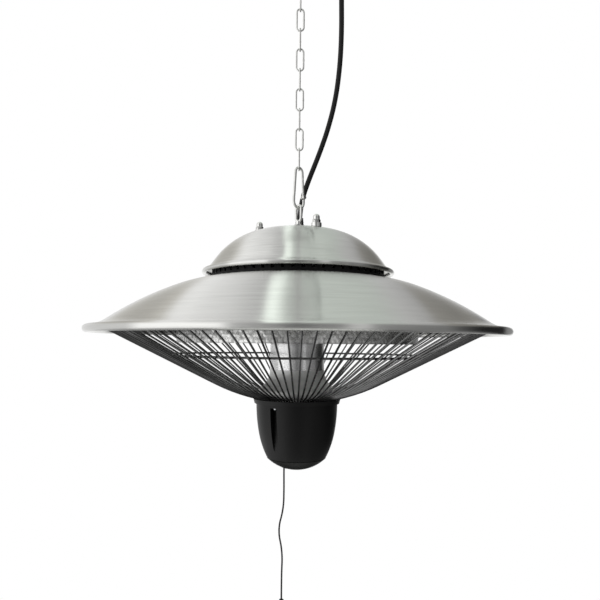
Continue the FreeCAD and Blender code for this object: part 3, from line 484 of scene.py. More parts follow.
FINISHES: dict[Slot, Finish] = {
    Slot.SPUN: SpunSheet("spun_sheet", (0.70, 0.70, 0.68), 0.23, 1.0),
    Slot.HAMMERED: HammeredSheet("hammered_sheet", (0.88, 0.88, 0.87), 0.22, 1.0),
    Slot.POLISHED: BareMetal("polished_sheet", (0.80, 0.80, 0.80), 0.11, 1.0, scale=22.0),
    Slot.BRIGHT: BareMetal("plated_steel", (0.86, 0.86, 0.84), 0.1, 1.0, scale=120.0, tarnish=0.78),
    Slot.GRILLE: BareMetal("grille_wire", (0.17, 0.17, 0.17), 0.12, 1.0, scale=60.0, tarnish=0.7),
    Slot.ZINC: BareMetal("zinc_plate", (0.55, 0.56, 0.57), 0.32, 1.0, scale=90.0, change=0.12),
    Slot.BLACK: Moulded("satin_black", (0.004, 0.004, 0.004), 0.42, scale=1300.0, gleam=0.22),
    Slot.CERAMIC: Moulded("fired_ceramic", (0.80, 0.78, 0.72), 0.6, scale=1500.0, lift=1.06),
    Slot.SWITCH: Moulded("switch_moulding", (0.66, 0.64, 0.58), 0.38, scale=800.0, depth=0.00002, lift=1.06),
    Slot.RUBBER: Moulded("lead_rubber", (0.006, 0.006, 0.006), 0.5, scale=1600.0, gleam=0.25),
    Slot.QUARTZ: ClearTube("quartz_glass", (0.95, 0.96, 0.97), 0.02),
    Slot.FILAMENT: BareMetal("oxide_wire", (0.24, 0.20, 0.17), 0.45, 1.0, scale=200.0, change=0.15),
    Slot.BRAID: Braided("braided_line", (0.02, 0.02, 0.02), 0.75),
    Slot.PLATE: Moulded("plate_coat", (0.74, 0.74, 0.73), 0.45, scale=1400.0, lift=1.05),
    Slot.VENT: Moulded("vent_coat", (0.006, 0.006, 0.006), 0.5, scale=1400.0, gleam=0.2),
}


def polar(r: float, degrees: float, centre: Point = (0.0, 0.0)) -> Point:
    """Return the point at a distance and an angle from a centre."""
    a = math.radians(degrees)
    return centre[0] + r * math.cos(a), centre[1] + r * math.sin(a)


def tan(degrees: float) -> float:
    """Return the rise of a slope."""
    return math.tan(math.radians(degrees))


def at(x: float, y: float, z: float) -> Vector:
    """Return the place of a point in mm, its height from the rim plane."""
    return Vector((x * MM, y * MM, (z + RIM_Z) * MM))


def link(data: bpy.types.ID, name: str) -> Object:
    """Put a mesh, curve, light or camera in the scene as an object."""
    piece = bpy.data.objects.new(name, data)
    bpy.context.scene.collection.objects.link(piece)
    return piece


def settled(piece: Object) -> Mesh:
    """Return the mesh that an object's modifiers or curve lead to."""
    graph = bpy.context.evaluated_depsgraph_get()
    return bpy.data.meshes.new_from_object(piece.evaluated_get(graph), depsgraph=graph)


def smooth(mesh: Mesh, angle: float) -> None:
    """Shade a mesh smooth, with edges sharper than the angle kept."""
    mesh.shade_smooth()
    mesh.set_sharp_from_angle(angle=math.radians(angle))


def to_mesh(form: bmesh.types.BMesh, name: str, sharp: float = 40.0) -> Mesh:
    """Turn a form into a smooth mesh with its faces outward."""
    bmesh.ops.recalc_face_normals(form, faces=form.faces)
    mesh = bpy.data.meshes.new(name)
    form.to_mesh(mesh)
    form.free()
    smooth(mesh, sharp)
    return mesh


@dataclass
class Outline:
    """A sheet's centre line in a plane through the axis, followed by runs and arcs, in mm."""

    start: Point
    heading: float
    points: list[Point] = field(default_factory=list)
    normals: list[Point] = field(default_factory=list)

    def __post_init__(self) -> None:
        """Put down the first point."""
        self._put()

    def _put(self) -> None:
        """Put down the present point and the direction to its left."""
        self.points.append(self.start)
        self.normals.append(polar(1.0, self.heading + 90.0))

    def run(self, length: float, parts: int = 1) -> "Outline":
        """Go straight on for a length, putting points down on the way."""
        for _ in range(parts):
            self.start = polar(length / parts, self.heading, self.start)
            self._put()
        return self

    def arc(self, radius: float, turn: float, parts: int) -> "Outline":
        """Follow an arc by degrees, to the left if positive, putting points down on the way."""
        reach = math.copysign(radius, turn)
        centre = polar(reach, self.heading + 90.0, self.start)
        for _ in range(parts):
            self.heading += turn / parts
            self.start = polar(reach, self.heading - 90.0, centre)
            self._put()
        return self

    def after(self, other: "Outline") -> "Outline":
        """Return one outline that comes back along the other and then goes on along this one."""
        joined = Outline(other.start, other.heading)
        joined.points = other.points[::-1] + self.points[1:]
        joined.normals = [(-x, -z) for x, z in other.normals[::-1]] + self.normals[1:]
        return joined

    def sheet(self, thickness: float) -> list[Point]:
        """Return the closed section of a sheet about this line."""
        left, right = ([(max(0.0, x + u * half), z + v * half) for (x, z), (u, v) in zip(self.points, self.normals)]
                       for half in (thickness / 2.0, -thickness / 2.0))
        return left + right[::-1]


def cover(name: str, rings: Sequence[Sequence[Vector]], along: Sequence[float], steps: int, sharp: float) -> Object:
    """Cover rings of points with faces, their length and turn in a map.

    Args:
        name: The piece's name.
        rings: The points of each ring, one where it shrinks to the axis.
        along: Length up to each ring, and once more back to the first where the last joins it.
        steps: Points of a whole ring.
        sharp: Edges sharper than this stay crisp, degrees.

    Returns:
        The piece, with capped ends where the last ring doesn't join the first.
    """
    form = bmesh.new()
    uv = form.loops.layers.uv.new(TURNING)
    rows = [[form.verts.new(spot) for spot in ring] for ring in rings]
    for a, b, v0, v1 in zip(rows, rows[1:] + rows[:1], along, along[1:]):
        if len(a) == len(b) == 1:
            continue
        for step in range(steps):
            nxt = (step + 1) % steps
            spots = [(a[step % len(a)], v0, step), (a[nxt % len(a)], v0, step + 1),
                     (b[nxt % len(b)], v1, step + 1), (b[step % len(b)], v1, step)]
            if len(a) == 1:
                spots.pop(1)
            elif len(b) == 1:
                spots.pop(2)
            face = form.faces.new([spot[0] for spot in spots])
            for loop, (_, length, turn) in zip(face.loops, spots):
                loop[uv].uv = (length, turn / steps)
    if len(along) == len(rows):
        for ring in (rows[0][::-1], rows[-1]):
            form.faces.new(ring)
    return link(to_mesh(form, name, sharp), name)


def lathe(name: str, section: Sequence[Point], segments: int, centre: Point = (0.0, 0.0),
          reach: Callable[[float, float], float] | None = None, sharp: float = 40.0) -> Object:
    """Turn a closed section round an upright axis.

    Args:
        name: The piece's name.
        section: Radius and height of each point, mm from the axis and the rim plane.
        segments: Steps round the axis.
        centre: Place of the axis, mm.
        reach: Most that a point may stand from the axis at an angle and a height, mm.
        sharp: Edges sharper than this stay crisp, degrees.

    Returns:
        The turned piece.
    """
    along = [0.0]
    for a, b in zip(section, [*section[1:], section[0]]):
        along.append(along[-1] + math.dist(a, b) * MM)
    rings = []
    for r, z in section:
        rings.append([])
        for step in range(segments if r > 1e-6 else 1):
            a = math.tau * step / segments
            far = min(r, reach(a, z)) if reach else r
            rings[-1].append(at(centre[0] + far * math.cos(a), centre[1] + far * math.sin(a), z))
    return cover(name, rings, along, segments, sharp)


def edge_path(name: str, points: Sequence[Point3], closed: bool = False) -> Mesh:
    """Make a mesh of edges through points in mm, the last joined to the first where closed."""
    count = len(points)
    mesh = bpy.data.meshes.new(name)
    mesh.from_pydata([at(*point) for point in points],
                     [(i, (i + 1) % count) for i in range(count if closed else count - 1)], [])
    return mesh


class NodeShapes:
    """Geometry Nodes trees for what repeats or follows a path."""

    @staticmethod
    def make(tree: NodeTree, name: str, mesh: Mesh, **sizes: float) -> Object:
        """Run a tree on a mesh and keep the result as a plain mesh.

        Args:
            tree: The tree.
            name: The piece's name.
            mesh: The mesh that it starts from.
            sizes: Values of the tree's inputs.

        Returns:
            The piece.
        """
        piece = link(mesh, name)
        modifier = piece.modifiers.new(tree.name, "NODES")
        modifier.node_group = tree
        for item in tree.interface.items_tree:
            if item.name in sizes:
                modifier[item.identifier] = sizes[item.name]
        form = bmesh.new()
        form.from_mesh(settled(piece))
        piece.modifiers.remove(modifier)
        piece.data = to_mesh(form, name)
        return piece

    @staticmethod
    def start(name: str, **sizes: float) -> tuple[Graph, Sockets]:
        """Start a tree with a geometry input and sizes."""
        return Graph.group("Geometry", name, {"Geometry": "Geometry", **sizes}, ("Geometry",))

    @staticmethod
    def end(graph: Graph, shape: Node, weld: float = 0.0) -> NodeTree:
        """End a tree: make copies real, and merge points within the weld's distance."""
        shape = graph.add("GeometryNodeRealizeInstances", {"Geometry": shape})
        if weld:
            shape = graph.add("GeometryNodeMergeByDistance", {"Geometry": shape, "Distance": weld})
        return graph.end({"Geometry": shape})

    @staticmethod
    def bar(graph: Graph, given: Sockets, path: Feed, **more: Feed) -> Node:
        """Sweep a round bar, by the sizes Wire and Sides, along a path of edges."""
        curve = graph.add("GeometryNodeMeshToCurve", {"Mesh": path})
        ring = graph.add("GeometryNodeCurvePrimitiveCircle",
                         {"Resolution": given["Sides"], "Radius": given["Wire"]}, mode="RADIUS")
        return graph.add("GeometryNodeCurveToMesh", {"Curve": curve, "Profile Curve": ring, "Fill Caps": True, **more})

    @staticmethod
    def index(graph: Graph) -> Node:
        """Add the number of each point."""
        return graph.add("GeometryNodeInputIndex")

    @staticmethod
    def copies(graph: Graph, points: Node, shape: Feed, turn: Node) -> Node:
        """Set a copy of a shape on each point, turned about the upright axis."""
        return graph.add("GeometryNodeInstanceOnPoints", {"Points": points, "Instance": shape,
                                                          "Rotation": graph.spot(0.0, 0.0, turn)})

    @classmethod
    def spread(cls, graph: Graph, given: Sockets, shape: Feed) -> Node:
        """Set copies of a shape round the upright axis, by the sizes Count and First."""
        points = graph.add("GeometryNodePoints", {"Count": given["Count"]})
        step = graph.math("DIVIDE", math.tau, given["Count"])
        return cls.copies(graph, points, shape, graph.math("MULTIPLY_ADD", cls.index(graph), step, given["First"]))

    @classmethod
    @cache
    def turn_array(cls) -> NodeTree:
        """Copies of a mesh round the axis."""
        graph, given = cls.start("turn_array", Count=3, First=0.0)
        return cls.end(graph, cls.spread(graph, given, given["Geometry"]), weld=0.00002)

    @classmethod
    @cache
    def wire_fan(cls) -> NodeTree:
        """Round wires along one path, copied round the axis."""
        graph, given = cls.start("wire_fan", Count=104, First=0.0, Wire=0.001, Sides=8)
        return cls.end(graph, cls.spread(graph, given, cls.bar(graph, given, given["Geometry"])))

    @classmethod
    @cache
    def link_run(cls) -> NodeTree:
        """Chain links along a line, each a quarter turn from the last."""
        graph, given = cls.start("link_run", Count=10, Pitch=0.03, Wire=0.00125, Sides=12)
        thick = graph.add("GeometryNodeInputNamedAttribute", {"Name": THICK}, data_type="FLOAT")
        bar = cls.bar(graph, given, given["Geometry"], Scale=thick)
        offset = graph.spot(0.0, 0.0, given["Pitch"])
        line = graph.add("GeometryNodeMeshLine", {"Count": given["Count"], "Offset": offset})
        odd = graph.math("MODULO", graph.math("ADD", cls.index(graph), 1.0), 2.0)
        return cls.end(graph, cls.copies(graph, line, bar, graph.math("MULTIPLY", odd, math.pi / 2.0)))

    @classmethod
    def coil(cls, name: str, place: Callable[[Graph, Sockets, Node, Node, Node], Sequence[Node]],
             **sizes: float) -> NodeTree:
        """Wind a wire.

        Args:
            name: The tree's name.
            place: Gives x, y and z from the graph, the sizes, the share of the length, and the turn's cosine and sine.
            sizes: Sizes besides Turns, Coil, Wire, Sides and Steps.

        Returns:
            The tree.
        """
        graph, given = cls.start(name, Turns=10.0, Coil=0.002, Wire=0.0003, Sides=5, Steps=10, **sizes)
        count = graph.math("MULTIPLY_ADD", given["Turns"], given["Steps"], 1.0)
        line = graph.add("GeometryNodeMeshLine", {"Count": count})
        share = graph.math("DIVIDE", cls.index(graph), graph.math("SUBTRACT", count, 1.0))
        turn = graph.math("MULTIPLY", share, graph.math("MULTIPLY", given["Turns"], math.tau))
        spot = graph.spot(*place(graph, given, share, graph.math("COSINE", turn), graph.math("SINE", turn)))
        wound = graph.add("GeometryNodeSetPosition", {"Geometry": line, "Position": spot})
        return cls.end(graph, cls.bar(graph, given, wound))

    @classmethod
    @cache
    def ring_coil(cls) -> NodeTree:
        """A fine coil that lies round a ring."""
        def place(graph: Graph, given: Sockets, share: Node, cos: Node, sin: Node) -> Sequence[Node]:
            """Give the coil's place."""
            angle = graph.math("MULTIPLY_ADD", share, given["Sweep"], given["From"])
            out = graph.math("MULTIPLY_ADD", cos, given["Coil"], given["Ring"])
            return (graph.math("MULTIPLY", out, graph.math("COSINE", angle)),
                    graph.math("MULTIPLY", out, graph.math("SINE", angle)),
                    graph.math("MULTIPLY_ADD", sin, given["Coil"], given["Height"]))
        return cls.coil("ring_coil", place, Ring=0.11, Height=0.0, From=0.0, Sweep=5.0)

    @classmethod
    @cache
    def spring_coil(cls) -> NodeTree:
        """An upright spring with closed ends."""
        def place(graph: Graph, given: Sockets, share: Node, cos: Node, sin: Node) -> Sequence[Node]:
            """Give the spring's place."""
            eased = graph.span(share, 0.08, 0.92)
            return (graph.math("MULTIPLY_ADD", cos, given["Coil"], given["X"]),
                    graph.math("MULTIPLY", sin, given["Coil"]),
                    graph.math("MULTIPLY_ADD", eased, given["Length"], given["Height"]))
        return cls.coil("spring_coil", place, X=0.0, Height=0.0, Length=0.02)


@dataclass
class Assembly:
    """A group of pieces that are built and dressed together."""

    nodes: dict[str, Object]

    def add(self, piece: Object, slot: Slot, *nodes: str, body: Body | None = Body.HEATER,
            finish: Finish | None = None) -> Object:
        """Finish a new piece and fix it to its body.

        Args:
            piece: The piece.
            slot: What it is made of.
            nodes: The CAD nodes that it stands for.
            body: What it moves with, or nothing to leave it unattached.
            finish: Its own finish, where it isn't the slot's.

        Returns:
            The piece.
        """
        piece.data.materials.clear()
        piece.data.materials.append((finish or FINISHES[slot]).material())
        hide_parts(*nodes)
        if body:
            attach(piece, body.value)
        LOG.info("%s: %d faces, %s", piece.name, len(piece.data.polygons), slot.value)
        return piece

    def keep(self, slot: Slot, *names: str) -> None:
        """Give CAD nodes that stay a finish."""
        for name in names:
            for place in self.nodes[name].material_slots:
                place.material = FINISHES[slot].material()
            LOG.info("%s: kept, %s", name, slot.value)

    def build(self) -> None:
        """Build and dress the pieces."""
        raise NotImplementedError


@dataclass
class Cord(Assembly):
    """A cord that follows its route on one smooth line."""

    name: str = "cord"
    route: tuple[Point3, ...] = ()
    diameter: float = 1.0
    sides: int = 16

    def line(self) -> list[Vector]:
        """Return points of the smooth line that has the route's points as its controls."""
        curve = bpy.data.curves.new(self.name + "_route", "CURVE")
        curve.dimensions = "3D"
        curve.resolution_u = 12
        spline = curve.splines.new("NURBS")
        spline.points.add(len(self.route) - 1)
        for spot, point in zip(spline.points, self.route):
            spot.co = (*at(*point), 1.0)
        spline.order_u = 3
        spline.use_endpoint_u = True
        holder = link(curve, self.name + "_route")
        mesh = settled(holder)
        points = [vertex.co.copy() for vertex in mesh.vertices]
        bpy.data.objects.remove(holder)
        bpy.data.curves.remove(curve)
        bpy.data.meshes.remove(mesh)
        return points

    def tube(self, line: Sequence[Vector]) -> Object:
        """Return a round tube along a line."""
        side = Vector((0.0, 1.0, 0.0))
        turns = [math.tau * step / self.sides for step in range(self.sides)]
        rings, along = [], [0.0]
        for index, spot in enumerate(line):
            ahead = (line[min(index + 1, len(line) - 1)] - line[max(index - 1, 0)]).normalized()
            side = (side - ahead * side.dot(ahead)).normalized()
            other = ahead.cross(side)
            if index:
                along.append(along[-1] + (spot - line[index - 1]).length)
            rings.append([spot + (side * math.cos(a) + other * math.sin(a)) * self.diameter * MM / 2.0 for a in turns])
        return cover(self.name, rings, along, self.sides, sharp=50.0)

    @staticmethod
    def length(line: Sequence[Vector]) -> float:
        """Return the length of a line."""
        return sum((b - a).length for a, b in zip(line, line[1:]))


@dataclass
class PowerLead(Cord):
    """The mains lead from the terminal block to the ceiling grip, with its tapered relief in the cap."""

    name: str = "power_lead_line"
    diameter: float = 7.5
    route: tuple[Point3, ...] = (
        (1.5, 18.0, 93.847), (1.2, 18.0, 130.0), (1.5, 18.0, 174.0), (5.5, 19.0, 202.0), (15.5, 20.0, 231.5),
        (30.0, 20.0, 268.0), (44.0, 20.0, 309.0), (54.5, 16.0, 352.0), (60.0, 9.0, 399.0), (61.5, 3.0, 447.0),
        (60.6, 0.6, 497.0), (60.0, 0.0, 557.085))
    relief_len: float = 20.0
    relief_low: float = 7.4
    relief_foot_h: float = 3.0
    relief_foot_r: float = 8.0
    relief_top_r: float = 5.45
    relief_hole_r: float = 4.25
    relief_wall: float = 1.8
    ribs: int = 6

    def build(self) -> None:
        """Build the lead across the swing joint, and the ribbed relief."""
        line = self.line()
        lead = self.add(self.tube(line), Slot.RUBBER, "power_lead", body=None)
        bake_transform(lead)
        tuple(line[0])
        self.length(line)
        [tuple(p) for p in line]
        self.add(self.relief(), Slot.RUBBER, "lead_bush")

    def relief(self) -> Object:
        """Return the tapered relief: a round foot on the cap, then ribs that get smaller."""
        low, foot, top = CAP_TOP - self.relief_low, CAP_TOP + self.relief_foot_h, CAP_TOP + self.relief_len
        r, neck = self.relief_foot_r, self.relief_hole_r + self.relief_wall
        section = [(neck, low), (neck, CAP_TOP - 1.6), (r, CAP_TOP - 1.4), (r, foot - 0.8), (r - 0.5, foot - 0.2),
                   (r - 1.1, foot)]
        step = (top - foot) / self.ribs
        for rib in range(self.ribs):
            wide = r - 1.0 + (self.relief_top_r - r + 1.0) * rib / self.ribs
            for less, share in ((0.45, 0.1), (0.45, 0.3), (0.0, 0.42), (0.12, 0.9), (0.3, 1.0)):
                section.append((wide - less, foot + rib * step + share * step))
        section += [(self.relief_hole_r, top), (self.relief_hole_r, low)]
        return lathe("lead_relief", section, segments=40, centre=self.route[0][:2])


@dataclass
class PullCord(Cord):
    """The pull cord with its knob, and what moves with it."""

    name: str = "pull_cord_line"
    diameter: float = 2.5
    sides: int = 12
    route: tuple[Point3, ...] = (
        (-18.1, 0.0, -182.044), (-18.3, 0.0, -205.0), (-17.9, 0.0, -233.0), (-18.3, 0.0, -263.0),
        (-26.6, 0.0, -294.0), (-19.2, 0.0, -327.0), (-20.6, 0.0, -364.0), (-20.3, 0.0, -402.0))
    knob_r: float = 8.0
    knob_len: float = 30.0
    knob_rise: float = 5.0
    bore_r: float = 1.5
    bore_h: float = 6.0
    shape: tuple[Point, ...] = (
        (0.1, 0.48), (0.2, 0.545), (0.3, 0.605), (0.4, 0.665), (0.5, 0.735), (0.6, 0.81), (0.7, 0.885), (0.75, 0.92),
        (0.765, 0.885), (0.79, 0.885), (0.805, 0.95), (0.84, 0.985), (0.875, 0.985), (0.92, 0.92), (0.955, 0.84),
        (0.985, 0.74), (1.0, 0.6), (1.0, 0.0))

    def build(self) -> None:
        """Build the cord and the knob on its end."""
        line = self.line()
        cord = self.add(self.tube(line), Slot.BRAID, "pull_cord", body=Body.PULL)
        knob = self.add(self.knob(), Slot.BLACK, "pull_knob", body=Body.PULL)
        tuple(line[0])
        self.length(line)
        [tuple(p) for p in line]
        self.keep(Slot.SWITCH, "plunger")

    def knob(self) -> Object:
        """Return the turned knob, with a grip ring and a rounded foot."""
        x, y, z = self.route[-1]
        top, r = z + self.knob_rise, self.knob_r
        section = [(self.bore_r, top - self.bore_h), (self.bore_r, top), (r * 0.36, top + 0.1), (r * 0.43, top - 0.6)]
        section += [(r * wide, top - self.knob_len * share) for share, wide in self.shape]
        section.append((0.0, top - self.bore_h))
        return lathe("pull_grip", section, segments=40, centre=(x, y))


@dataclass
class Hat(Assembly):
    """The brim and the top cap with what holds them together."""

    rim_r: float = 300.0
    bead_d: float = 10.5
    sheet: float = 1.0
    flare_r: float = 40.8
    slope: float = 34.7
    outer_arc: float = 451.0
    turn: float = 21.3
    crown_arc: float = 204.0
    crown_hole_r: float = 6.0
    curl: float = 290.0
    cap_r: float = 140.7
    cap_bead_d: float = 6.5
    cap_sheet: float = 0.8
    cap_rise: float = 9.5
    cap_flare_r: float = 8.7
    cap_side: float = 54.1
    cap_side_len: float = 14.3
    cap_shoulder: float = 109.0
    cap_top_slope: float = 9.9
    crown_z: float = 75.347
    nut_af: float = 10.0
    nut_h: float = 5.5
    nut_neck: float = 3.0
    stud_r: float = 58.0
    stud_deg: float = 175.4
    seal_t: float = 2.2
    seal_r: float = 7.0
    cup_h: float = 3.75
    cup_lean: float = 13.1
    cup_top: float = 0.4
    cup_gap: float = 0.05
    cup_wall: float = 0.35
    cup_edge: float = 0.2
    vent_r: float = 126.0
    vent_sheet: float = 1.0
    vent_low: float = 1.0
    vent_h: float = 21.2
    slots: int = 60
    slot_w: float = 4.0
    slot_h: float = 10.0
    slot_lift: float = 3.5

    def build(self) -> None:
        """Build the spun sheets, the vent ring and the nuts."""
        self.add(self.brim(), Slot.SPUN, "brim")
        self.add(self.cap(), Slot.SPUN, "top_cap")
        self.add(self.vent(), Slot.VENT, "vent_ring")
        self.add(self.nuts(), Slot.BRIGHT, "cap_nuts")
        self.keep(Slot.RUBBER, "seal_washers")
        self.keep(Slot.ZINC, "tie_studs", "stud_sleeves", "stud_nuts", "support_plate", "hanger_locknuts")

    def rolled(self, r: float, low: float, bead_d: float, sheet: float, parts: int) -> tuple[Outline, Outline]:
        """Return a rolled edge's outline, and the start of the sheet that goes inwards from it."""
        mid = bead_d / 2.0 - sheet / 2.0
        start = (r - bead_d / 2.0, low + mid)
        return Outline(start, 0.0).arc(mid, -self.curl, parts), Outline(start, 180.0)

    def brim(self) -> Object:
        """Return the brim: rolled rim, flare, two arcs and a flat crown."""
        bead, skin = self.rolled(self.rim_r, 0.0, self.bead_d, self.sheet, parts=26)
        skin.arc(self.flare_r, -self.slope, parts=8).arc(self.outer_arc, self.slope - self.turn, parts=16)
        skin.arc(self.crown_arc, self.turn, parts=12)
        skin.run(skin.start[0] - self.crown_hole_r, parts=6)
        return lathe("brim_sheet", skin.after(bead).sheet(self.sheet), segments=192)

    def cap(self) -> Object:
        """Return the cap: rolled edge, steep side, round shoulder and low dome."""
        bead, skin = self.rolled(self.cap_r, self.crown_z + self.cap_rise, self.cap_bead_d, self.cap_sheet, parts=22)
        skin.arc(self.cap_flare_r, -self.cap_side, parts=8).run(self.cap_side_len, parts=2)
        skin.arc(self.cap_shoulder, self.cap_side - self.cap_top_slope, parts=16)
        skin.arc(skin.start[0] / math.sin(math.radians(self.cap_top_slope)), self.cap_top_slope, parts=12)
        return lathe("cap_sheet", skin.after(bead).sheet(self.cap_sheet), segments=160)

    def vent(self) -> Object:
        """Return the slotted ring: one panel with its slot, copied round."""
        half, slot = 180.0 / self.slots, math.degrees(self.slot_w / 2.0 / self.vent_r)
        low = self.crown_z + self.slot_lift
        heights = (self.crown_z - self.vent_low, low, low + self.slot_h, self.crown_z + self.vent_h)
        form = bmesh.new()
        walls = [[[form.verts.new(at(*polar(r, a), z)) for a in (-half, -slot, slot, half)] for z in heights]
                 for r in (self.vent_r, self.vent_r - self.vent_sheet)]

        def bridge(*spots: tuple[int, int]) -> None:
            """Join both walls between each spot and the next."""
            for (r0, c0), (r1, c1) in zip(spots, spots[1:]):
                form.faces.new((walls[0][r0][c0], walls[1][r0][c0], walls[1][r1][c1], walls[0][r1][c1]))

        for row, column in product(range(3), repeat=2):
            corners = ((row, column), (row, column + 1), (row + 1, column + 1), (row + 1, column))
            if row == column == 1:
                bridge(*corners, corners[0])
                continue
            for wall in walls:
                form.faces.new([wall[r][c] for r, c in corners])
        for row in (0, 3):
            bridge(*((row, column) for column in range(4)))
        return NodeShapes.make(NodeShapes.turn_array(), "vent_band", to_mesh(form, "vent_panel"), Count=self.slots,
                               First=math.pi / self.slots)

    def nuts(self) -> Object:
        """Return the three domed nuts, each a chamfered hexagon under a dome, with a cup over its seal."""
        lean = tan(self.cap_top_slope)
        low = CAP_TOP - self.stud_r * lean / 2.0 + self.seal_t + self.seal_r * lean
        inner, seat = self.seal_r + self.cup_gap, low + self.cup_top
        outer, edge = inner + self.cup_wall, low + self.cup_edge
        section = [(0.0, low), (inner, low), (inner, low - self.cup_h), (outer, low - self.cup_h), (outer, edge),
                   (outer - 0.3, seat)]
        section += domed_nut(self.nut_af, seat, self.nut_h - self.cup_top, self.nut_neck)
        nut = lathe("domed_nut", section, segments=36, centre=(self.stud_r, 0.0),
                    reach=hexagon(self.nut_af, low + 0.5, low + self.nut_h), sharp=25.0)
        mesh = nut.data
        for vertex in mesh.vertices:
            if vertex.co.z < (low - 0.01 + RIM_Z) * MM:
                vertex.co.z -= (vertex.co.x - self.stud_r * MM) * tan(self.cup_lean)
        bpy.data.objects.remove(nut)
        return NodeShapes.make(NodeShapes.turn_array(), "cap_nut_set", mesh, Count=3, First=math.radians(self.stud_deg))


def hexagon(across: float, low: float, high: float) -> Callable[[float, float], float]:
    """Return the reach, by angle and height, of a hexagon between two heights."""
    def reach(angle: float, height: float) -> float:
        """Give the flat's distance at an angle."""
        if height > high + 1e-6 or height < low - 1e-6:
            return across
        return across / 2.0 / math.cos((angle % (math.pi / 3.0)) - math.pi / 6.0)
    return reach


def domed_nut(across: float, low: float, height: float, neck: float) -> list[Point]:
    """Return the section of a domed nut with a chamfered hexagon.

    Args:
        across: Size across the flats, mm.
        low: Its seat, mm.
        height: Height of the hexagon.
        neck: Height of the neck under the dome.

    Returns:
        The section, from the seat's edge to the top.
    """
    corner = across / math.sqrt(3.0)
    high = low + height
    dome = across / 2.0 - 0.3
    section = [(corner - 0.7, low), (corner, low + 0.6), (corner, high - 0.7), (corner - 0.9, high),
               (dome, high + 0.05), (dome, high + neck)]
    section += [polar(dome, 90.0 * step / 8.0, (0.0, high + neck)) for step in range(1, 8)]
    return [*section, (0.0, high + neck + dome)]


@dataclass
class Hanger(Assembly):
    """The chain with the snap hook, the eye on the cap, and the ceiling fitting."""

    link_in: float = 29.8
    link_w: float = 12.8
    wire: float = 2.5
    pitch: float = 29.5
    count: int = 10
    first_in: float = 239.586
    weld: float = 1.16
    nut_af: float = 13.0
    nut_h: float = 6.5
    nut_hole_r: float = 4.1

    def build(self) -> None:
        """Build the chain and the eye's nut, and dress the rest."""
        self.add(self.chain(), Slot.BRIGHT, "chain_links")
        self.add(self.nut(), Slot.BRIGHT, "hanger_nut")
        self.keep(Slot.BRIGHT, "snap_hook", "snap_gate", "gate_pin", "hanger_eye", "ceiling_hook")
        self.keep(Slot.PLATE, "ceiling_plate")
        self.keep(Slot.BLACK, "ceiling_grip")

    def nut(self) -> Object:
        """Return the eye's chamfered nut."""
        corner = self.nut_af / math.sqrt(3.0)
        low, high, hole = CAP_TOP, CAP_TOP + self.nut_h, self.nut_hole_r
        section = [(hole, low), (corner - 0.9, low), (corner, low + 0.8), (corner, high - 0.8), (corner - 1.0, high),
                   (hole + 0.6, high), (hole, high - 0.6)]
        return lathe("eye_nut", section, segments=36, reach=hexagon(self.nut_af, low, high), sharp=25.0)

    def chain(self) -> Object:
        """Return the chain: one link with a weld on its side, repeated up the line."""
        r = (self.link_w - self.wire) / 2.0
        half = self.link_in / 2.0 + self.wire / 2.0 - r
        middle = self.first_in + self.link_in / 2.0
        points: list[Point3] = []
        thick: list[float] = []
        for start, side, weld in ((0.0, -1.0, 1.0), (180.0, 1.0, self.weld)):
            for step in range(13):
                x, z = polar(r, start + 180.0 * step / 12.0, (0.0, -side * half))
                points.append((x, 0.0, z + middle))
                thick.append(1.0)
            for share, more in ((0.25, 1.0), (0.4, 1.0), (0.45, weld), (0.55, weld), (0.6, 1.0), (0.75, 1.0)):
                points.append((side * r, 0.0, -side * half * (1.0 - 2.0 * share) + middle))
                thick.append(more)
        mesh = edge_path("link_line", points, closed=True)
        mesh.attributes.new(THICK, "FLOAT", "POINT").data.foreach_set("value", thick)
        return NodeShapes.make(NodeShapes.link_run(), "chain_run", mesh, Count=self.count, Pitch=self.pitch * MM,
                               Wire=self.wire / 2.0 * MM, Sides=12)


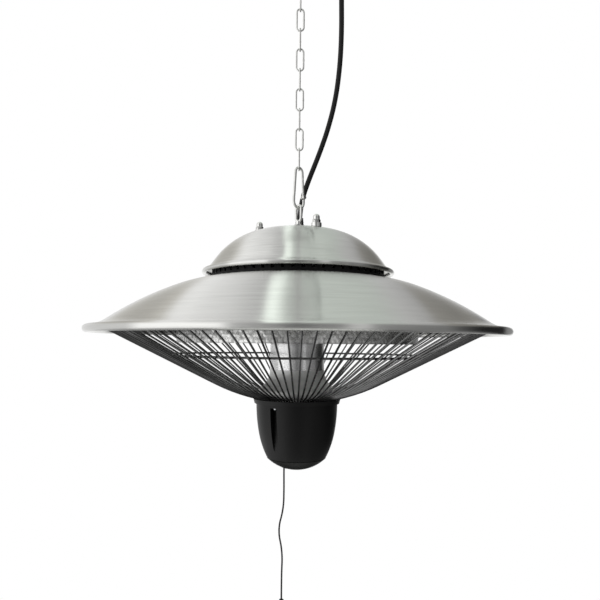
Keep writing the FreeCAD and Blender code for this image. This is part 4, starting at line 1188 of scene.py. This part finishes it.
@dataclass
class Reflector(Assembly):
    """The hammered bowl with the column, and the ring element between them."""

    bowl_r: float = 175.0
    edge_z: float = -18.0
    wall: float = 20.0
    bend: float = 50.0
    sheet: float = 0.8
    segments: int = 600
    hole_r: float = 6.25
    dimple: float = 7.0
    dimple_depth: float = 0.5
    dimple_reach: float = 0.6
    dimple_row: float = 0.87
    stray: Pair = (0.16, 0.14)
    press: Pair = (0.7, 1.1)
    seed: int = 11
    back_step: int = 9
    column_r: float = 40.0
    column_sheet: float = 0.8
    foot_r: float = 57.5
    flare_r: float = 32.0
    flare: float = 60.0
    foot_len: float = 12.0
    collar_top: float = -99.042
    ring_r: float = 110.0
    ring_z: float = 15.0
    coil_r: float = 2.0
    coil_wire: float = 0.25
    coil_turns: float = 260.0
    gap_deg: float = 20.0

    def build(self) -> None:
        """Build the bowl, the column and the filament, and dress the rest."""
        self.add(self.bowl(), Slot.HAMMERED, "reflector_bowl")
        self.add(self.column(), Slot.POLISHED, "column")
        satin = BareMetal("satin_sheet", (0.86, 0.86, 0.85), 0.52, 1.0, scale=22.0)
        self.add(self.foot(), Slot.POLISHED, "column_foot", finish=satin)
        coil = NodeShapes.make(
            NodeShapes.ring_coil(), "filament_coil", bpy.data.meshes.new("coil"), Turns=self.coil_turns,
            Coil=self.coil_r * MM, Wire=self.coil_wire * MM, Sides=5, Steps=10, Ring=self.ring_r * MM,
            Height=(self.ring_z + RIM_Z) * MM, From=math.radians(90.0 + self.gap_deg),
            Sweep=math.radians(360.0 - 2.0 * self.gap_deg))
        self.add(coil, Slot.FILAMENT, "filament")
        self.keep(Slot.QUARTZ, "quartz_tube")
        self.keep(Slot.CERAMIC, "element_end_caps", "terminal_block")
        self.keep(Slot.ZINC, "element_clips", "centre_pipe", "pipe_nuts")
        self.keep(Slot.RUBBER, "element_leads", "switch_cable")

    def bowl(self) -> Object:
        """Return the bowl, with hammer dimples in both faces of its sheet."""
        line = Outline((self.bowl_r - self.sheet / 2.0, self.edge_z), 90.0)
        line.run(self.wall, parts=9).arc(self.bend, 90.0, parts=36)
        side = len(line.points)
        line.run(line.start[0] - self.hole_r, parts=52)
        section = line.sheet(self.sheet)
        inner, back = section[:len(line.points)], section[len(line.points):]
        crown = back[:-side:self.back_step]
        bowl = lathe("hammered_bowl", inner + crown + back[-side:], self.segments)
        self.hammer(bowl.data, range(len(inner), len(inner) + len(crown)))
        smooth(bowl.data, 60.0)
        return bowl

    def hammer(self, mesh: Mesh, plain: range) -> None:
        """Press rows of shallow dimples through a turned sheet, a little out of line.

        Args:
            mesh: The turned piece.
            plain: Rows of points that stay plain, on the back of the crown.
        """
        draw = random.Random(self.seed).uniform
        turn, side = self.stray
        rows = list(self.rows())
        cells: list[list[Point3]] = []
        for index, (r, _) in enumerate(rows):
            around = max(6, round(math.tau * r / self.dimple))
            cells.append([(math.tau * (step + 0.5 * (index % 2) + draw(-turn, turn)) / around,
                           draw(-side, side) * self.dimple, draw(*self.press)) for step in range(around)])
        press = [0.5] * len(mesh.vertices)
        for vertex, normal in zip(mesh.vertices, [vertex.normal.copy() for vertex in mesh.vertices]):
            if vertex.index // self.segments in plain:
                continue
            x, y, z = vertex.co.x / MM, vertex.co.y / MM, vertex.co.z / MM - RIM_Z
            r, a = math.hypot(x, y), math.atan2(y, x) % math.tau
            best = 0.0
            for (row_r, row_z), row in zip(rows, cells):
                across = math.hypot(r - row_r, z - row_z)
                if across > self.dimple:
                    continue
                across = math.copysign(across, (row_r - r) + (z - row_z))
                guess = int(a / math.tau * len(row))
                for step in (guess - 1, guess, guess + 1):
                    angle, shift, depth = row[step % len(row)]
                    off = (a - angle + math.pi) % math.tau - math.pi
                    gap = math.hypot(off * r, across - shift) / (self.dimple * self.dimple_reach)
                    best = max(best, depth * (1.0 - gap * gap))
            push = -1.0 if normal.dot(Vector((-x, -y, -40.0))) > 0.0 else 1.0
            vertex.co += normal * push * best * self.dimple_depth * MM
            press[vertex.index] = best
        mesh.attributes.new(PRESS, "FLOAT", "POINT").data.foreach_set("value", press)

    def rows(self) -> Iterator[Point]:
        """Give radius and height of each row of dimples on the bowl's inner face."""
        step = self.dimple * self.dimple_row
        z = self.edge_z + step * 0.6
        while z < self.edge_z + self.wall:
            yield self.bowl_r - self.sheet, z
            z += step
        turns = round(self.bend * math.pi / 2.0 / step)
        centre = (self.bowl_r - self.bend, self.edge_z + self.wall)
        for index in range(turns):
            yield polar(self.bend, 90.0 * (index + 0.5) / turns, centre)
        r = centre[0] - step * 0.5
        while r > self.hole_r + step:
            yield r, self.top()
            r -= step

    def top(self) -> float:
        """Return the height of the crown's inner face."""
        return self.edge_z + self.wall + self.bend - self.sheet / 2.0

    def flare_span(self) -> float:
        """Return the sum of the radii of the foot's two bends."""
        return (self.foot_r - self.column_r) / (1.0 - math.cos(math.radians(self.flare)))

    def tube_end(self) -> float:
        """Return the height where the column meets its foot."""
        return self.collar_top + self.foot_len + self.flare_span() * math.sin(math.radians(self.flare))

    def column(self) -> Object:
        """Return the column's tube, its lower edge eased."""
        top, low = self.top(), self.tube_end()
        r, inner = self.column_r, self.column_r - self.column_sheet
        section = [(inner, top), (r, top), (r, low + 0.25), (r - 0.2, low + 0.02), (inner, low + 0.02)]
        return lathe("column_tube", section, segments=128)

    def foot(self) -> Object:
        """Return the flared foot that stands on the collar."""
        line = Outline((self.column_r - self.column_sheet / 2.0, self.tube_end()), 270.0)
        line.arc(self.flare_r, self.flare, parts=16).arc(self.flare_span() - self.flare_r, -self.flare, parts=14)
        return lathe("flared_foot", line.run(self.foot_len, parts=2).sheet(self.column_sheet), segments=128)


@dataclass
class Grille(Assembly):
    """The fan of wires under the brim with its rings and clips."""

    wire_d: float = 2.5
    count: int = 104
    first_deg: float = 271.1
    slope: float = 27.1
    end_slope: float = 13.0
    bend_at: float = 122.0
    end_r: float = 61.0
    ring_d: float = 3.0
    mid_r: float = 196.0
    inner_r: float = 63.5
    weld_gap: float = 0.02
    seat_deg: float = 25.0

    def build(self) -> None:
        """Build the wires and the rings, and dress the clips."""
        mesh = edge_path("wire_line", [(x, 0.0, z) for x, z in self.wire_line()])
        wires = NodeShapes.make(NodeShapes.wire_fan(), "grille_fan", mesh, Count=self.count,
                                First=math.radians(self.first_deg), Wire=self.wire_d / 2.0 * MM, Sides=8)
        self.add(wires, Slot.GRILLE, "grille_wires")
        spots = {"outer": self.outer_ring()}
        for name, r in (("mid", self.mid_r), ("inner", self.inner_r)):
            z, slope = self.wire_at(r)
            spots[name] = polar(-self.reach(), slope - 90.0, (r, z))
        for name, centre in spots.items():
            ring = [polar(self.ring_d / 2.0, 30.0 * step, centre) for step in range(12)]
            self.add(lathe("welded_ring_" + name, ring, segments=180), Slot.GRILLE, "grille_ring_" + name)
        self.keep(Slot.ZINC, "grille_clips")

    def reach(self) -> float:
        """Return the distance between the centres of a wire and a ring welded to it."""
        return self.wire_d / 2.0 + self.ring_d / 2.0 + self.weld_gap

    def outer_ring(self) -> Point:
        """Return the outer ring's section centre, under the brim's flare."""
        seat = math.radians(self.seat_deg)
        reach = Hat.flare_r + Hat.sheet / 2.0 + self.ring_d / 2.0 + self.weld_gap
        x, z = Hat.rim_r - Hat.bead_d / 2.0, Hat.bead_d / 2.0 - Hat.sheet / 2.0 + Hat.flare_r
        return x - math.sin(seat) * reach, z - math.cos(seat) * reach

    def wire_start(self) -> Point:
        """Return the wire's upper end."""
        return polar(self.ring_d / 2.0, self.slope, polar(self.reach(), self.slope - 90.0, self.outer_ring()))

    def bend_radius(self) -> float:
        """Return the radius of the wire's bend."""
        span = math.sin(math.radians(self.slope)) - math.sin(math.radians(self.end_slope))
        return (self.bend_at - self.end_r) / span

    def wire_line(self) -> list[Point]:
        """Return the wire's centre line: a straight run, then a bend to the collar."""
        start = self.wire_start()
        line = Outline(start, 180.0 + self.slope)
        line.run((start[0] - self.bend_at) / math.cos(math.radians(self.slope)))
        return line.arc(self.bend_radius(), self.end_slope - self.slope, parts=5).points

    def wire_at(self, r: float) -> Point:
        """Return the wire's height and slope at a radius."""
        x, z = self.wire_start()
        if r >= self.bend_at:
            return z - (x - r) * tan(self.slope), self.slope
        bend, lean = self.bend_radius(), math.radians(self.slope)
        a = math.asin(math.sin(lean) - (self.bend_at - r) / bend)
        return z - (x - self.bend_at) * tan(self.slope) - bend * (math.cos(a) - math.cos(lean)), math.degrees(a)


@dataclass
class ControlHousing(Assembly):
    """The black housing under the grille with the pull switch inside."""

    cord_x: float = -18.1
    spring_floor: float = -171.542
    spring_len: float = 22.0
    spring_r: float = 3.0
    spring_wire: float = 0.4
    spring_turns: float = 9.0
    spring_gap: float = 0.4
    travel: float = 10.0

    def build(self) -> None:
        """Dress the housing, and build the return spring."""
        self.keep(Slot.BLACK, "collar", "control_housing", "bottom_cover", "cord_bush")
        self.keep(Slot.ZINC, "housing_screws", "wheel_pin")
        self.keep(Slot.SWITCH, "switch_case", "switch_lid", "ratchet_wheel")
        spring = NodeShapes.make(
            NodeShapes.spring_coil(), "switch_spring", bpy.data.meshes.new("spring"), Turns=self.spring_turns,
            Coil=self.spring_r * MM, Wire=self.spring_wire * MM, Sides=8, Steps=24, X=self.cord_x * MM,
            Height=(self.spring_floor + self.spring_wire + RIM_Z) * MM,
            Length=(self.spring_len - 2.0 * self.spring_wire - self.spring_gap) * MM)
        self.add(spring, Slot.ZINC, "return_spring")
        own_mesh(spring)


@dataclass
class Studio:
    """Camera, light and floor. A stop of the light is an angle, a strength and, where it isn't plain, a tone."""

    lens: float = 34.92
    sensor: float = 36.0
    distance: float = 862.0
    drop: float = 17.4
    shift: Pair = (0.0043, 0.0719)
    roll: float = 0.53
    floor_z: float = -2.4
    floor_r: float = 0.9
    top: float = 1.6
    ground: float = 0.4
    rise: Pair = (0.3, 0.55)
    flank_rise: float = 0.12
    sink: Pair = (-0.65, -0.42)
    far: Pair = (-0.3, 0.2)
    backdrop: Pair = (0.86, 0.93)
    spread: tuple[float, float, float, float] = (-0.1, 0.4, 0.16, 0.41)
    fan_bend: float = 1.85
    upper: Light = (
        (-90.0, 0.86), (-65.0, 0.80), (-56.0, 0.58, Tone.WARM), (-49.0, 0.52, Tone.WARM), (-42.0, 0.54, Tone.WARM),
        (-37.0, 0.66, Tone.WARM), (-33.0, 1.08), (-29.0, 1.10), (-24.0, 0.99), (-18.0, 0.89), (-12.0, 0.73),
        (-8.4, 0.62), (-7.4, 1.50, Tone.COOL), (-4.4, 1.50, Tone.COOL), (-2.8, 0.88, Tone.COOL),
        (-1.6, 0.82, Tone.COOL), (0.0, 0.63), (1.6, 0.84, Tone.COOL), (8.0, 0.75, Tone.COOL), (20.0, 0.69, Tone.COOL),
        (28.0, 0.64), (34.0, 0.53), (38.0, 0.34, Tone.WARM), (48.0, 0.28, Tone.WARM), (56.0, 0.32, Tone.WARM),
        (66.0, 0.42), (90.0, 0.50))
    front: Light = (
        (-90.0, 0.60), (-70.0, 0.80), (-44.0, 0.80), (-40.0, 1.35), (-18.0, 1.35), (-14.5, 0.60), (-10.0, 0.47),
        (-5.0, 0.36), (-1.5, 0.20), (1.0, 0.18), (4.5, 0.27), (9.5, 0.32), (12.0, 0.60), (15.0, 0.70), (18.0, 0.34),
        (22.0, 0.28), (29.0, 0.24), (37.0, 0.22), (42.0, 0.10), (46.0, 0.045), (49.0, 0.02), (61.0, 0.02),
        (64.0, 0.25), (90.0, 0.45))
    flank: Light = ((40.0, 0.0), (47.0, 1.0), (61.0, 1.0), (65.0, 0.0))
    lower: Light = (
        (-90.0, 0.30), (-30.0, 0.26), (-16.0, 0.04), (16.0, 0.04), (30.0, 0.20), (44.0, 0.30), (70.0, 0.30),
        (90.0, 0.30))

    def build(self) -> None:
        """Set up the camera, the room's light and the floor."""
        bpy.context.scene.view_settings.view_transform = "Standard"
        self.camera()
        self.world()
        self.lamp("key_light", Vector((-1.5, -2.2, 0.7)), size=1.1, power=38.0)
        self.lamp("fill_light", Vector((1.9, -1.8, -0.2)), size=1.4, power=10.0)
        self.floor()

    def camera(self) -> None:
        """Set the camera at the photograph's angle."""
        data = bpy.data.cameras.new("camera")
        data.lens = self.lens
        data.sensor_width = self.sensor
        data.shift_x, data.shift_y = self.shift
        eye = link(data, "camera")
        turn = Matrix.Rotation(math.radians(90.0), 4, "X") @ Matrix.Rotation(math.radians(self.roll), 4, "Z")
        eye.matrix_world = Matrix.Translation(at(0.0, -self.distance, -self.drop)) @ turn
        bpy.context.scene.camera = eye

    @staticmethod
    def stops(light: Light, top: float) -> list[tuple[float, Sequence[float]]]:
        """Return a ramp's places and colours for light from -90 to 90 degrees, its white at the top strength."""
        made = []
        for angle, level, *tones in light:
            tone = tones[0] if tones else Tone.PLAIN
            made.append(((angle + 90.0) / 180.0, [level / top * share for share in tone.value]))
        return made

    def world(self) -> None:
        """Light the room by direction: long soft boxes to the left, a dim room to the right, white backdrop behind."""
        room = bpy.data.worlds.new("studio_room")
        bpy.context.scene.world = room
        room.use_nodes = True
        graph = Graph(room.node_tree)
        x, y, z = graph.split(graph.add("ShaderNodeTexCoord").outputs["Generated"])
        near = graph.math("SUBTRACT", 1.0, y)
        spread = graph.span(y, *self.spread)
        guess = graph.math("MULTIPLY", graph.math("ARCTAN2", x, graph.math("ADD", near, spread)), self.fan_bend)
        turn = graph.math("ARCTAN2", x, graph.math("MULTIPLY_ADD", spread, graph.math("COSINE", guess), near))
        fan = graph.math("MULTIPLY_ADD", turn, 1.0 / math.pi, 0.5)
        depth = graph.math("MAXIMUM", graph.math("MULTIPLY", near, 2.0), 0.0001)
        lift = graph.math("DIVIDE", z, graph.math("SQRT", depth))
        upper, front, lower = (graph.ramp(fan, self.stops(light, self.top))
                               for light in (self.upper, self.front, self.lower))
        edge = graph.math("MULTIPLY_ADD", graph.ramp(fan, self.stops(self.flank, 1.0)), self.flank_rise, self.rise[0])
        sky = graph.mix_colour(graph.span(lift, edge, self.rise[1]), front, upper)
        floor = graph.mix_colour(graph.span(y, *self.far), grey(self.ground / self.top), lower)
        sky = graph.mix_colour(graph.span(lift, *self.sink), floor, sky)
        light = graph.mix_colour(1.0, sky, grey(self.top), blend_type="MULTIPLY")
        path = graph.add("ShaderNodeLightPath").outputs
        gleam = graph.math("MAXIMUM", path["Is Glossy Ray"], path["Is Transmission Ray"])
        behind = graph.math("MULTIPLY", gleam, graph.span(y, *self.backdrop))
        white = graph.math("MAXIMUM", path["Is Camera Ray"], behind)
        graph.wire(room.node_tree.nodes["Background"],
                   {"Color": graph.mix_colour(white, light, grey(1.0)), "Strength": 1.0})

    @staticmethod
    def lamp(name: str, spot: Vector, size: float, power: float) -> None:
        """Add a soft light that is aimed at the heater and not seen itself."""
        data = bpy.data.lights.new(name, "AREA")
        data.energy = power
        data.size = size
        lamp = link(data, name)
        lamp.location = spot
        lamp.rotation_euler = (at(0.0, 0.0, 0.0) - spot).to_track_quat("-Z", "Y").to_euler()
        lamp.visible_camera = False
        lamp.visible_glossy = False

    def floor(self) -> None:
        """Lay the plain pale floor under the heater."""
        form = bmesh.new()
        bmesh.ops.create_circle(form, cap_ends=True, segments=64, radius=self.floor_r)
        bmesh.ops.translate(form, verts=form.verts, vec=(0.0, 0.0, self.floor_z))
        floor = link(to_mesh(form, "floor"), "floor")
        floor.data.materials.append(Moulded("pale_floor", (0.8, 0.8, 0.79), 0.8, scale=40.0, lift=1.03).material())


def main() -> None:
    """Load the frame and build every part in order."""
    logging.basicConfig(level=logging.INFO, format="%(message)s")
    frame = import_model()
    nodes = frame["nodes"]
    Studio().build()
    for part in (PowerLead(nodes), PullCord(nodes), Hat(nodes), Hanger(nodes), Reflector(nodes), Grille(nodes),
                 ControlHousing(nodes)):
        LOG.info("building %s", type(part).__name__)
        part.build()


if __name__ == "__main__":
    main()
